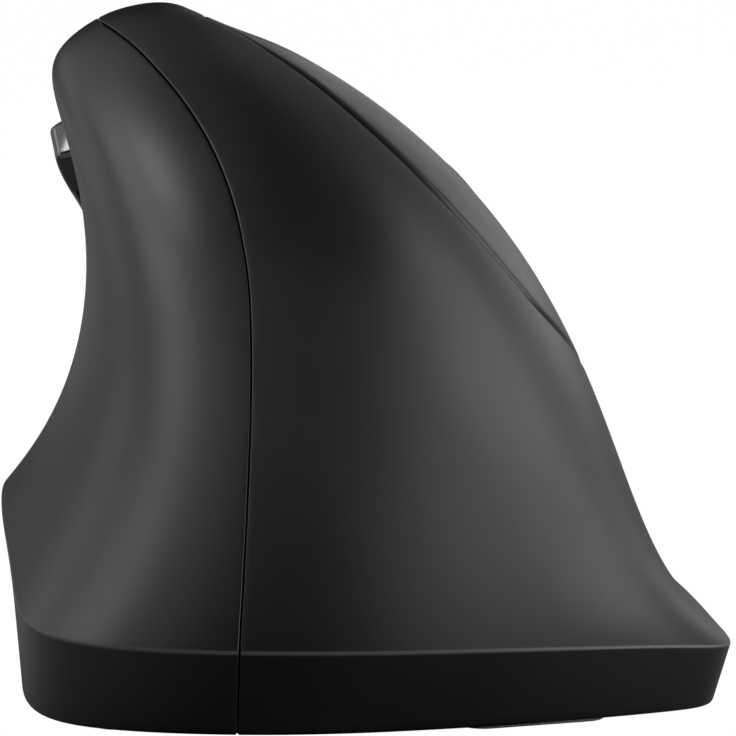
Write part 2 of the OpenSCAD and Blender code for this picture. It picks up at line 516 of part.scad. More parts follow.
module wheel_cradle() {
  color("#55585c") in_face([strip_off, wheel_y, 0]) difference() {
    union() {
      for (s = [0, 1]) mirror([s, 0, 0]) {
        translate([cheek_in, 0, wheel_z]) rotate([0, 90, 0]) cylinder(d = 9, h = cheek_t);
        block([cheek_in, -4.5, cradle_floor], [cheek_out, 4.5, wheel_z]);
      }
      block([-cheek_out, -4.5, cradle_floor], [cheek_out, 4.5, cradle_floor + cheek_t]);
    }
    translate([-far / 8, 0, wheel_z]) rotate([0, 90, 0]) cylinder(d = axle_d + 2 * pin_play, h = far / 4);
  }
}
module wheel_encoder() {
  color("#2f5fa8") in_face() block([strip_off + cheek_out + guide_gap + 0.2, wheel_y - 4, frame_z], [strip_off + cheek_out + guide_gap + 3.2, wheel_y + 4, frame_z + 2.8]);
}

// Outline of a thumb key on its face, with clipped corners, grown by d
function key_outline(y0, y1, h, d) = let (c = 1.6, a = -h / 2 - d, b = h / 2 + d, p = y0 - d, q = y1 + d)
  [[a + c, p], [b - c, p], [b, p + c], [b, q - c], [b - c, q], [a + c, q], [a, q - c], [a, p + c]];
// Share of the ridge's height across a thumb key, from its lower edge to its upper one
thumb_crown = [[-1.2, 0.3], [-1, 0.35], [0.06, 1], [1, 0.55], [1.2, 0.5]];
thumb_inset = 1.4;
// Body of a thumb key that follows the panel, a little larger than its outline
module key_body(y0) {
  n = 9; m = 8;
  function t_at(i) = thumb_h * 0.55 * (2 * i / (n - 1) - 1);
  function y_at(j) = y0 - 0.4 + (thumb_l + 0.8) * j / (m - 1);
  function row(s, j) = [for (i = [0 : n - 1]) s * n * m + j * n + i];
  function col(s, i) = [for (j = [0 : m - 1]) s * n * m + j * n + i];
  polyhedron([for (s = [0, 1], j = [0 : m - 1], i = [0 : n - 1]) let (t = t_at(i), y = y_at(j))
      [t, y, thumb_z(t, y) + (s == 0 ? thumb_proud * lookup(2 * t / thumb_h, thumb_crown) : -thumb_inset)]],
    concat([for (s = [0, 1], j = [0 : m - 2]) each quads([row(s, j), row(s, j + 1)], n - 1, s == 1)],
      quads([row(1, 0), row(0, 0)], n - 1, false), quads([row(0, m - 1), row(1, m - 1)], n - 1, false),
      quads([col(0, 0), col(1, 0)], m - 1, false), quads([col(1, n - 1), col(0, n - 1)], m - 1, false)));
}
// Thumb key with a flange behind the panel and a stem to its switch
module thumb_key(y0) {
  mid = y0 + thumb_l / 2;
  low = min([for (y = [y0, y0 + thumb_l], t = [-thumb_h / 2, 0]) thumb_z(t, y)]) - wall - 0.3;
  in_thumb() {
    intersection() {
      key_body(y0);
      translate([0, 0, -9]) linear_extrude(18) polygon(key_outline(y0, y0 + thumb_l, thumb_h, 0));
    }
    block([-2.5, mid - 4, thumb_key_z], [2.5, mid + 4, thumb_z(0, mid) - thumb_inset / 2]);
    block([-thumb_h / 2 - 0.9, y0 + 0.3, low - flange_t], [0, y0 + thumb_l - 0.3, low]);
  }
}
thumb_key_z = -thumb_board + switch_h + nub_h + key_play + 0.1;
module back_button() { color("#0d0d0e") thumb_key(thumb_ys[0]); }
module forward_button() { color("#0d0d0e") thumb_key(thumb_ys[1]); }
module thumb_pcb() {
  color("#1d5b3a") in_thumb([0, 0, -thumb_board - board_t]) linear_extrude(board_t)
    polygon(let (a = thumb_posts[0].y - post_d * 0.6, b = thumb_posts[1].y + post_d * 0.55, h = thumb_pcb_x)
      [[h[0], a], [h[1], a], [h[1], b - thumb_pcb_clip.y], [h[1] - thumb_pcb_clip.x, b], [h[0], b]]);
}
module thumb_switches() {
  color("#1b1b1c") for (y = thumb_ys) in_thumb([0, y + thumb_l / 2, -thumb_board]) push_switch(push_base);
}

module base_plate() {
  edge = wall + base_fit;
  color("#232425") difference() {
    union() {
      translate([0, 0, foot_height]) linear_extrude(base_t)
        polygon([for (i = [0 : 63]) let (q = side_at(i / 16, -1, -edge)) [q.x, q.y]]);
      for (s = standoffs) translate([s.x, s.y, base_top - 1]) cylinder(d = standoff_d, h = standoff_h + 1);
      for (b = concat(palm_bosses, thumb_bosses)) translate([b.x, b.y, foot_height]) cylinder(d = boss_d, h = boss_z - foot_height);
      // Battery bay walls
      difference() {
        block([bay_x[0] - bay_t, bay_y[0] - bay_t, base_top - 1], [bay_x[1] + bay_t, bay_y[1] + bay_t, cell_z + 2]);
        block([bay_x[0], bay_y[0], 0], [bay_x[1], bay_y[1], cell_z + 9]);
      }
      block([bay_x[0] - bay_t, door_y[0] - 2, base_top - 1], [bay_x[0], bay_y[0], base_top + 0.6]);
      block([bay_x[1], door_y[0] - 2, base_top - 1], [bay_x[1] + bay_t, bay_y[0], base_top + 0.6]);
      // Ring round the sensor lens
      translate([sensor_at.x - 7, sensor_at.y - 6, base_top - 1]) cube([14, 12, 2]);
    }
    block([door_x[0] - door_gap, door_y[0] - 1, 0], [door_x[1] + door_gap, door_y[1] + door_gap, base_top + 0.5]);
    block([bay_x[0] + 0.4, door_y[1] - 2, foot_height + door_t + cell_gap / 2], [bay_x[1] - 0.4, bay_y[1] - 0.4, cell_z]);
    translate([door_x[0] - 3, door_pin.x, door_pin.y]) rotate([0, 90, 0]) cylinder(d = door_pin_d + 2 * pin_play, h = door_x[1] - door_x[0] + 6);
    for (b = concat(palm_bosses, thumb_bosses)) translate([b.x, b.y, 0]) {
      cylinder(d = head_d + 0.4, h = foot_height + head_h + 0.2);
      cylinder(d = screw_d + 0.4, h = far / 4);
    }
    translate([sensor_at.x - 4.1, sensor_at.y - 3.1, 0]) cube([8.2, 6.2, base_top + 3]);
    translate([sensor_at.x - 5.6, sensor_at.y - 4.6, base_top]) cube([11.2, 9.2, 3]);
    translate([power_at.x - 1.5, power_at.y - 1.4 - power_travel / 2 - 0.3, 0]) cube([3, 2.8 + power_travel + 0.6, base_top + 1]);
  }
}

module main_pcb() {
  color("#1d5b3a") translate([0, 0, pcb_z]) board(pcb_box[0], pcb_box[1], [[sensor_at.x, sensor_at.y, 7.4]]);
}
module sensor_lens() {
  color("#9fb4bd") {
    translate([sensor_at.x - 5.4, sensor_at.y - 4.4, base_top]) cube([10.8, 8.8, 1.4]);
    translate([sensor_at.x, sensor_at.y, base_top]) cylinder(d = 6, h = standoff_h - 0.3);
    translate([sensor_at.x - 3.9, sensor_at.y - 2.9, foot_height + 0.6]) cube([7.8, 5.8, base_t - 0.6]);
  }
}
module sensor_chip() {
  color("#161616") translate([sensor_at.x - 6, sensor_at.y - 5, pcb_z + board_t]) difference() {
    cube([12, 10, 3]);
    translate([6, 5, -1]) cylinder(d = 3, h = 2);
  }
}
module sensor_led() {
  color("#c23a2e") translate([sensor_at.x, sensor_at.y + 10, pcb_z + board_t]) { cylinder(d = 3.8, h = 1); cylinder(d = 3, h = 3.2); translate([0, 0, 3.2]) sphere(d = 3); }
}

module cell(x, flip) {
  translate([x, bay_y[0] + contact_t, cell_z]) mirror([0, flip, 0]) translate([0, flip ? -cell_l : 0, 0]) rotate([-90, 0, 0]) {
    cylinder(d = cell_d, h = cell_l - 1);
    cylinder(d = 3.8, h = cell_l);
  }
}
module left_cell() { color("#8d9095") cell(cell_xs[0], 0); }
module right_cell() { color("#8d9095") cell(cell_xs[1], 1); }
module battery_contacts() {
  color("#b8b9b4") for (x = cell_xs, y = [bay_y[0], bay_y[1] - contact_t]) translate([x - 4, y, cell_z - 4]) cube([8, contact_t, 8]);
}
module battery_door() {
  color("#252627") {
    block([door_x[0], door_y[0], foot_height], [door_x[1], door_y[1], foot_height + door_t]);
    translate([door_x[0] - 1.4, door_pin.x, door_pin.y]) rotate([0, 90, 0]) cylinder(d = door_pin_d, h = door_x[1] - door_x[0] + 2.8);
  }
}

module power_switch() {
  color("#1b1b1c") difference() {
    translate([power_at.x - 3, power_at.y - 5.5, base_top]) cube([6, 11, 3.6]);
    translate([power_at.x - 2, power_at.y - 1.8 - power_travel / 2 - 0.3, base_top - 1]) cube([4, 3.6 + power_travel + 0.6, 2.8]);
  }
}
module power_slider() {
  color("#8a8c90") translate([power_at.x, power_at.y - power_travel / 2, 0]) {
    translate([-1.2, -1.4, foot_height + 0.5]) cube([2.4, 2.8, base_t + 0.5]);
    translate([-1.7, -1.8, base_top + 0.2]) cube([3.4, 3.6, 1.2]);
  }
}

module glide_feet() {
  color("#d8d8d4") for (f = feet) translate(plan_fit(f[0])) rotate([0, 0, f[2] + 90]) bar(foot_w, f[1], foot_height);
}
module case_screws() {
  color("#9a9ca0") for (b = concat(palm_bosses, thumb_bosses)) translate([b.x, b.y, foot_height + 0.2]) {
    difference() {
      cylinder(d = head_d, h = head_h);
      for (a = [0, 90]) rotate([0, 0, a]) translate([-1.3, -0.3, -0.1]) cube([2.6, 0.6, 1]);
    }
    cylinder(d = screw_d, h = screw_l);
  }
}

base_plate();
palm_shell();
thumb_panel();
left_button();
right_button();
centre_strip();
button_frame();
button_pcb();
left_switch();
right_switch();
dpi_button();
dpi_switch();
wheel_hub();
wheel_tyre();
wheel_cradle();
wheel_encoder();
middle_switch();
back_button();
forward_button();
thumb_pcb();
thumb_switches();
main_pcb();
sensor_chip();
sensor_lens();
sensor_led();
left_cell();
right_cell();
battery_contacts();
battery_door();
power_switch();
power_slider();
glide_feet();
case_screws();
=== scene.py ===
"""Looks of a right-hand vertical mouse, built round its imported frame.

All shapes are worked out in millimetres in the frame's own axes: +X to the finger side, +Y to the nose
and +Z up.
"""

from __future__ import annotations

import logging
import math
from dataclasses import dataclass, field
from enum import Enum
from typing import Callable, Sequence

import bpy
import numpy as np
from mathutils import Matrix, Vector

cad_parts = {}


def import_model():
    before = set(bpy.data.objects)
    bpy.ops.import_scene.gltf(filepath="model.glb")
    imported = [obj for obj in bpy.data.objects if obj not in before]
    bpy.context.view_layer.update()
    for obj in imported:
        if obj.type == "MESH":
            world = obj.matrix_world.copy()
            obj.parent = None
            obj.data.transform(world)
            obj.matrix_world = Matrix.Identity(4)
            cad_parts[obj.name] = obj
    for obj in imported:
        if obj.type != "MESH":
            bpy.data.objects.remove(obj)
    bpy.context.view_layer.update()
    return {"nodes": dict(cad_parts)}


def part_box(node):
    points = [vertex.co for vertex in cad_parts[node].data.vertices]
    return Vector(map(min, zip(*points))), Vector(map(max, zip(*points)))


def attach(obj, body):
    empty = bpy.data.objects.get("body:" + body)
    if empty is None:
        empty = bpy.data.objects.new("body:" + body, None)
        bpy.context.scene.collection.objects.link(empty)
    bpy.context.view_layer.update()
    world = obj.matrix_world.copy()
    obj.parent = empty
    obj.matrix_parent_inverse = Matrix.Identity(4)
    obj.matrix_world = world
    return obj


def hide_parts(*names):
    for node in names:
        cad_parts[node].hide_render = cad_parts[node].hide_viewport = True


log = logging.getLogger("vertical_mouse")

MM = 0.001
# Vertex attribute that carries a highlight painted into the colour along lips and panel rims.
PAINTED_HIGHLIGHT = "painted_highlight"
RIB_SIDES = 10
CRISP_ANGLE = 45.0
Array = np.ndarray
Field = Callable[[Array], Array]


class Body(Enum):
    """Rigid bodies of the frame that the pieces ride on."""

    CHASSIS = "chassis"
    LEFT_CLICK = "left_click"
    RIGHT_CLICK = "right_click"
    WHEEL = "wheel"
    DPI = "dpi"
    BACK = "back"
    FORWARD = "forward"
    DOOR = "door"


# Curves and distances


def unit(v: Array) -> Array:
    """Vectors scaled to length one."""
    return v / np.linalg.norm(v, axis=-1, keepdims=True)


def closed_spline(points: Sequence[Sequence[float]]) -> Array:
    """Find the control points of a closed cubic spline.

    Args:
        points: Places that the spline passes through.

    Returns:
        Control points, one for each place.
    """
    places = np.array(points, float)
    eye = np.eye(len(places))
    return np.linalg.solve((4 * eye + np.roll(eye, 1, 0) + np.roll(eye, -1, 0)) / 6, places)


def spline_at(ctrl: Array, u: Array) -> Array:
    """Walk along a closed cubic spline.

    Args:
        ctrl: Control points from closed_spline.
        u: Places along it, where 0 to 4 is once round.

    Returns:
        Points of the spline.
    """
    count = len(ctrl)
    t = np.mod(u, 4.0) * count / 4
    i = np.floor(t).astype(int)
    f = (t - i)[..., None]
    a, b, c, d = (ctrl[(i + k) % count] for k in (-1, 0, 1, 2))
    second = (3 * f**3 - 6 * f**2 + 4) * b
    third = (-3 * f**3 + 3 * f**2 + 3 * f + 1) * c
    return ((1 - f) ** 3 * a + second + third + f**3 * d) / 6


def line_through(points: Sequence[Sequence[float]], steps: int) -> Array:
    """Draw a smooth open line through points.

    Args:
        points: Places that the line passes through.
        steps: Steps from each place to the next.

    Returns:
        Points of the line.
    """
    p = np.array(points, float)
    last = len(p) - 1
    out = []
    for i in range(last):
        a, b, c, d = p[max(0, i - 1)], p[i], p[i + 1], p[min(last, i + 2)]
        for t in np.arange(steps) / steps:
            bend = t**2 * (2 * a - 5 * b + 4 * c - d) + t**3 * (3 * b - a - 3 * c + d)
            out.append(b + 0.5 * (t * (c - a) + bend))
    return np.array(out + [p[last]])


def line_distance(q: Array, line: Array, closed: bool) -> Array:
    """Measure how far points lie from a line in the plane.

    Args:
        q: Points in the plane.
        line: Points of the line.
        closed: Whether its end joins its start.

    Returns:
        Distances, above zero to the right of the line.
    """
    start = line if closed else line[:-1]
    end = np.roll(line, -1, 0) if closed else line[1:]
    run = end - start
    length2 = np.sum(run * run, -1)
    flat = q.reshape(-1, 2)
    out = np.empty(len(flat))
    chunk = 8000
    for k in range(0, len(flat), chunk):
        away = flat[k : k + chunk, None, :] - start
        t = np.clip(np.sum(away * run, -1) / length2, 0, 1)
        gap = away - t[..., None] * run
        near = np.argmin(np.sum(gap * gap, -1), 1)
        pick = np.arange(len(near))
        side = run[near, 0] * away[pick, near, 1] - run[near, 1] * away[pick, near, 0]
        out[k : k + chunk] = -np.sign(side) * np.linalg.norm(gap[pick, near], axis=-1)
    return out.reshape(q.shape[:-1])


def slot_distance(x: Array, y: Array, width: float, length: float) -> Array:
    """Distance from a round-ended slot along y, below zero inside it."""
    along = np.maximum(np.abs(y) - (length - width) / 2, 0)
    return np.hypot(x, along) - width / 2


def soft_min(a: Array, b: Array, blend: float) -> Array:
    """The lower of two fields, with its corner rounded over a blend length."""
    h = np.maximum(blend - np.abs(a - b), 0) / blend
    return np.minimum(a, b) - h * h * blend / 4


# Housing surface


@dataclass(frozen=True)
class Skin:
    """Lofted skin of the housing: four rails climb from the lip to the crest, over a skirt."""

    crest: tuple = (-16.9, 4.4, 62.8)
    rails: tuple = (
        (
            (-7.2, -60.6, 8), (-7.2, -56.6, 18), (-7.2, -50.6, 30),
            (-7.2, -41.6, 45), (-10.6, -30.6, 56), (-16.9, -12.7, 63.1),
        ),
        (
            (36.3, -24.6, 6), (27, -15.6, 10), (25.2, -5.6, 20),
            (27, 0.4, 37.7), (6.6, 3.4, 52), (-0.9, 4.4, 57),
        ),
        (
            (-8.3, 60.4, 6), (-9.3, 60.4, 18), (-10.3, 59.4, 30),
            (-13.2, 55.4, 42), (-16.6, 45.4, 51.2), (-16.9, 24.4, 62.4),
        ),
        (
            (-32.1, -4.6, 15.5), (-27.8, 0.4, 23), (-17.2, 2.4, 38.5),
            (-29.6, 3.4, 69.6), (-39.6, 4.4, 45.3), (-26.6, 4.4, 67.8),
        ),
    )
    fullness: tuple = ((2.4, 2.1), (2.2, 2.1), (2.3, 2.2), (2.6, 2.2))
    lip_net: tuple = (
        (-7.2, -60.2, 8.2), (6.8, -58.6, 8), (19.2, -55.2, 7.7), (29.8, -50.6, 7.1), (34.6, -46.1, 6.5),
        (34.4, -35.6, 6.5), (33, -14.6, 6.2), (30.2, 8.4, 6), (25.2, 30.4, 6), (15.2, 49.4, 6),
        (-0.2, 59.4, 6), (-12.2, 58.4, 6.3), (-22.8, 49.4, 7.2), (-29.8, 33.4, 9.2), (-33.8, 13.4, 12.8),
        (-34.9, -3.6, 15.3), (-33.8, -18.6, 13.9), (-31.6, -34.6, 11.2),
        (-28.8, -49.6, 9), (-20.8, -57.6, 8.3),
    )
    hem_net: tuple = (
        (-7.2, -59.8), (6.2, -57.8), (17.8, -54.1), (28.2, -49.6), (33, -45.2),
        (32.8, -34.8), (31, -14.2), (28, 7.9), (23.4, 28.9), (14, 47.4),
        (-0.2, 57.2), (-11.8, 56.3), (-21.2, 47.9), (-27.8, 32.4), (-30.8, 12.9),
        (-31.6, -3.6), (-31.2, -18.6), (-30.6, -34.6), (-28.4, -48.9), (-21.4, -57.2),
    )
    hem_z: float = 0.8
    lip_reach: float = 0.6
    lip_round: float = 0.26
    hem_round: float = 0.4
    wall: float = 1.8
    skirt_wall: float = 0.9
    crown_reach: float = 0.15
    crown_slope: tuple = (-0.43, -0.02)
    pole_normal: tuple = (0.36, 0.02, 1.0)

    def rail_points(self) -> Array:
        """Control points of the four rails, up to the crest."""
        return np.array([[*rail, self.crest] for rail in self.rails], float)

    def lip(self, u: Array) -> Array:
        """Point of the crisp lip."""
        return spline_at(closed_spline(self.lip_net), u)

    def hem(self, u: Array) -> Array:
        """Point of the skirt's lower edge."""
        flat = spline_at(closed_spline(self.hem_net), u)
        return np.concatenate([flat, np.full(flat.shape[:-1] + (1,), self.hem_z)], -1)

    def hem_normal(self, u: Array) -> Array:
        """Outward direction in plan along the hem."""
        step = 0.01
        run = self.hem(u + step) - self.hem(u - step)
        return unit(np.stack([run[..., 1], -run[..., 0], 0 * run[..., 0]], -1))

    def ring(self, u: Array, w: Array) -> Array:
        """Sweep the rails round the body.

        Args:
            u: Place round the body, from 0 at the rear by the right, front and left to 4.
            w: Height, 0 at the lip and 1 at the crest.

        Returns:
            Points of the plain loft.
        """
        turn = np.mod(u, 4.0)
        quarter = np.minimum(3, np.floor(turn)).astype(int)
        angle = (turn - quarter) * (np.pi / 2)
        rails = self.rail_points()
        order = rails.shape[1] - 1
        basis = np.stack([math.comb(order, k) * w**k * (1 - w) ** (order - k) for k in range(order + 1)], -1)
        here = np.einsum("...k,...kc->...c", basis, rails[quarter])
        there = np.einsum("...k,...kc->...c", basis, rails[(quarter + 1) % 4])
        full = np.array(self.fullness)[quarter]
        power = 2 / (full[..., 0] + (full[..., 1] - full[..., 0]) * w)
        rise = np.clip(np.sin(angle), 0, 1) ** power
        fall = np.clip(np.cos(angle), 0, 1) ** power
        even = quarter % 2 == 0
        by_rise = here + (there - here) * rise[..., None]
        by_fall = there + (here - there) * fall[..., None]
        z = here[..., 2] + (there[..., 2] - here[..., 2]) * np.sin(angle) ** 2
        near = np.clip(1 - (1 - w) / self.crown_reach, 0, 1)
        last = rails[:, -2] - rails[:, -1]
        level = last[:, :2] @ np.array(self.crown_slope)
        smooth = level[quarter] * fall + level[(quarter + 1) % 4] * rise
        plain = last[quarter, 2] * np.cos(angle) ** 2 + last[(quarter + 1) % 4, 2] * np.sin(angle) ** 2
        z = z + near * near * (3 - 2 * near) * order * (1 - w) * (smooth - plain)
        x = np.where(even, by_rise[..., 0], by_fall[..., 0])
        y = np.where(even, by_fall[..., 1], by_rise[..., 1])
        return np.stack([x, y, z], -1)

    def at(self, u: Array, w: Array) -> Array:
        """Point of the skin above the lip, drawn to the lip's own line near it."""
        u, w = np.broadcast_arrays(np.asarray(u, float), np.asarray(w, float))
        pull = np.clip(1 - w / self.lip_reach, 0, 1) ** 3
        return self.ring(u, w) + pull[..., None] * (self.lip(u) - self.ring(u, 0 * w))

    def side(self, u: Array, s: Array) -> Array:
        """Point of the housing's whole side.

        Args:
            u: Place round the body.
            s: Station: 1 crest, 0 to -1 round of the lip, -2 foot of the skirt, -3 under the hem.

        Returns:
            Points of the side.
        """
        u, s = np.broadcast_arrays(np.asarray(u, float), np.asarray(s, float))
        step = 0.004
        speed = np.linalg.norm(self.at(u, 0 * u + step) - self.at(u, 0 * u), axis=-1) / step
        start = self.lip_round / speed
        lip, hem = self.lip(u), self.hem(u)
        down = unit(hem - lip)
        skirt_top = lip + down * self.lip_round
        skirt_foot = hem - down * self.hem_round
        under = hem - self.hem_normal(u) * self.hem_round
        edge = self.at(u, start)
        t = np.clip(-s, 0, 1)[..., None]
        lip_curve = (1 - t) ** 2 * edge + 2 * t * (1 - t) * lip + t**2 * skirt_top
        t = np.clip(-s - 1, 0, 1)[..., None]
        skirt = skirt_top + (skirt_foot - skirt_top) * t
        t = np.clip(-s - 2, 0, 1)[..., None]
        hem_curve = (1 - t) ** 2 * skirt_foot + 2 * t * (1 - t) * hem + t**2 * under
        top = self.at(u, start + (1 - start) * np.clip(s, 0, 1))
        mark = s[..., None]
        return np.select([mark >= 0, mark >= -1, mark >= -2], [top, lip_curve, skirt], hem_curve)

    def normal(self, u: Array, s: Array) -> Array:
        """Outward direction of the side."""
        du, ds = 0.004, 0.002
        high, low = np.minimum(s + ds, 0.999), np.maximum(s - ds, -2.999)
        low = np.minimum(low, high - ds)
        across = self.side(u + du, s) - self.side(u - du, s)
        up = self.side(u, high) - self.side(u, low)
        made = np.cross(across, up)
        pole = (s > 0.9985)[..., None]
        return unit(np.where(pole, np.array(self.pole_normal), made))

    def inner(self, u: Array, s: Array) -> Array:
        """Point on the inside of the wall, opposite a point of the side."""
        deep = np.clip(s / 0.06, 0, 1)
        wall = self.skirt_wall + (self.wall - self.skirt_wall) * deep * deep * (3 - 2 * deep)
        foot = np.maximum(s, -2.0)
        out = self.side(u, foot) - wall[..., None] * self.normal(u, foot)
        drop = np.clip(-s - 2, 0, 1)
        out[..., 2] += (self.hem_z - out[..., 2]) * drop
        return out


@dataclass(frozen=True)
class FacePlane:
    """Flat frame laid on the skin: x along the face, y forward, z outward."""

    skin: Skin
    u: float
    w: float
    turn: float

    def origin(self) -> Array:
        """Middle of the face."""
        return self.skin.at(np.array(self.u), np.array(self.w))

    def to_local(self, q: Array) -> Array:
        """Points of the frame, seen from the face."""
        d = q - self.origin()
        c, s = math.cos(math.radians(self.turn)), math.sin(math.radians(self.turn))
        return np.stack([d[..., 0] * c - d[..., 2] * s, d[..., 1], d[..., 0] * s + d[..., 2] * c], -1)

    def seek(self, x: Array, y: Array) -> tuple[Array, Array]:
        """Find the skin over places of the face.

        Args:
            x: Places along the face.
            y: Places forward.

        Returns:
            u and w of the skin there.
        """
        u, w = np.full(x.shape, self.u), np.full(x.shape, self.w)
        step = 0.002
        for _ in range(14):
            here = self.to_local(self.skin.at(u, w))
            by_u = (self.to_local(self.skin.at(u + step, w)) - here) / step
            by_w = (self.to_local(self.skin.at(u, w + step)) - here) / step
            det = by_u[..., 0] * by_w[..., 1] - by_u[..., 1] * by_w[..., 0]
            dx, dy = x - here[..., 0], y - here[..., 1]
            u = u + np.clip((dx * by_w[..., 1] - dy * by_w[..., 0]) / det, -0.3, 0.3)
            w = np.clip(w + np.clip((dy * by_u[..., 0] - dx * by_u[..., 1]) / det, -0.1, 0.1), 0.02, 0.95)
        return u, w

    def over(self, x: Array, y: Array, height: Array) -> Array:
        """Points above the skin at places of the face, at a height along the skin's normal."""
        u, w = self.seek(x, y)
        step = 0.004
        across = self.skin.at(u + step, w) - self.skin.at(u - step, w)
        up = self.skin.at(u, w + step) - self.skin.at(u, w - step)
        return self.skin.at(u, w) + unit(np.cross(across, up)) * np.asarray(height)[..., None]


# Panels cut from the surface


@dataclass
class PanelMesh:
    """Vertices in millimetres and faces of one finished panel, with the share of highlight painted on each
    vertex.
    """

    points: Array
    faces: list[list[int]]
    painted_highlight: Array


@dataclass
class PanelCutter:
    """Cuts closed panels with rounded rims out of the housing's side."""

    skin: Skin
    columns: int = 400
    skin_rows: int = 120
    rim_steps: int = 5
    # Share of painted highlight at the middle of each rounded rim.
    rim_painted_highlight: float = 0.02
    snap: float = 0.18
    u: Array = field(init=False)
    s: Array = field(init=False)
    points: Array = field(init=False)

    def __post_init__(self) -> None:
        """Lay the grid that every panel is cut from."""
        stations = np.concatenate([
            np.linspace(-3, -2, 5)[:-1],
            np.linspace(-2, -1, 12)[:-1],
            np.linspace(-1, 0, 8)[:-1],
            np.linspace(0, 0.994, self.skin_rows),
        ])
        self.u, self.s = np.meshgrid(np.arange(self.columns) * 4 / self.columns, stations)
        self.points = self.skin.side(self.u, self.s)

    def cut(self, inside: Field, rim: Field) -> PanelMesh:
        """Cut one panel.

        Args:
            inside: Field that is above zero on the panel.
            rim: Radius of its rounded rim at each place, outside the field's zero line.

        Returns:
            The closed panel.
        """
        u, s, value = self._snapped(inside)
        rows, cols = u.shape
        ids = np.arange(rows * cols).reshape(rows, cols)
        all_u, all_s, all_v = [u.ravel()], [s.ravel()], [value.ravel()]
        count = rows * cols
        crossing: list[Array] = []
        for axis in (1, 0):
            u2, s2, v2 = np.roll(u, -1, axis), np.roll(s, -1, axis), np.roll(value, -1, axis)
            if axis == 1:
                u2 = np.where(np.arange(cols) == cols - 1, u2 + 4, u2)
            cut = value * v2 < 0
            if axis == 0:
                cut[-1] = False
            t = self._root(inside, (u[cut], s[cut], value[cut]), (u2[cut], s2[cut], v2[cut]))
            all_u.append(u[cut] + t * (u2[cut] - u[cut]))
            all_s.append(s[cut] + t * (s2[cut] - s[cut]))
            all_v.append(0 * t)
            made = np.full(u.shape, -1)
            made[cut] = count + np.arange(len(t))
            count += len(t)
            crossing.append(made)
        faces = self._cells(ids, value, crossing)
        if np.all(value[-1] > 0):
            all_u.append(np.zeros(1))
            all_s.append(np.ones(1))
            all_v.append(np.ones(1))
            faces += [[ids[-1, c], ids[-1, (c + 1) % cols], count] for c in range(cols)]
        joined = (np.concatenate(part) for part in (all_u, all_s, all_v))
        return self._close(inside, rim, *joined, faces)

    def _snapped(self, inside: Field) -> tuple[Array, Array, Array]:
        """Grid with the vertices that lie close to the cut moved onto it."""
        u, s = self.u.copy(), self.s.copy()
        value = inside(self.points)
        for axis in (1, 0):
            for back in (False, True):
                v2 = np.roll(value, -1, axis)
                du = np.roll(u, -1, axis) - u
                du = np.where(du < -2, du + 4, du)
                ds = np.roll(s, -1, axis) - s
                cut = value * v2 < 0
                if axis == 0:
                    cut[-1] = False
                t = np.where(cut, value / np.where(cut, value - v2, 1), 0.5)
                if back:
                    move = np.roll(cut & (t > 1 - self.snap), 1, axis)
                    du, ds, t = (np.roll(k, 1, axis) for k in (du, ds, t))
                    u[move] -= ((1 - t) * du)[move]
                    s[move] -= ((1 - t) * ds)[move]
                else:
                    move = cut & (t < self.snap)
                    u[move] += (t * du)[move]
                    s[move] += (t * ds)[move]
                value[move] = 0
        return u, s, value

    def _root(self, inside: Field, low: tuple, high: tuple) -> Array:
        """Where the field crosses zero between two sets of grid points."""
        (u1, s1, a), (u2, s2, b) = low, high
        lo, hi = np.zeros_like(a), np.ones_like(a)
        t = a / (a - b)
        for _ in range(3):
            v = inside(self.skin.side(u1 + t * (u2 - u1), s1 + t * (s2 - s1)))
            same = v * a > 0
            lo, a = np.where(same, t, lo), np.where(same, v, a)
            hi, b = np.where(same, hi, t), np.where(same, b, v)
            gap = np.where(np.abs(a - b) < 1e-9, 1, a - b)
            t = np.clip(lo + (hi - lo) * a / gap, 0.02, 0.98)
        return t

    def _cells(self, ids: Array, value: Array, crossing: list[Array]) -> list[list[int]]:
        """Faces of the grid inside the cut, with the cells on it clipped."""
        beside = np.roll(ids, -1, 1)
        corners = np.stack([ids[:-1], beside[:-1], beside[1:], ids[1:]], -1)
        values = value.ravel()[corners]
        whole = np.all(values >= 0, -1) & np.any(values > 0, -1)
        faces = corners[whole].tolist()
        mixed = np.any(values > 0, -1) & np.any(values < 0, -1)
        over, up = crossing
        for r, c in zip(*np.nonzero(mixed)):
            right = (c + 1) % ids.shape[1]
            edges = (over[r, c], up[r, right], over[r + 1, c], up[r, c])
            poly = []
            for k in range(4):
                here, there = values[r, c, k], values[r, c, (k + 1) % 4]
                if here >= 0:
                    poly.append(int(corners[r, c, k]))
                if here * there < 0:
                    poly.append(int(edges[k]))
            if len(poly) > 2:
                faces.append(poly)
        return faces

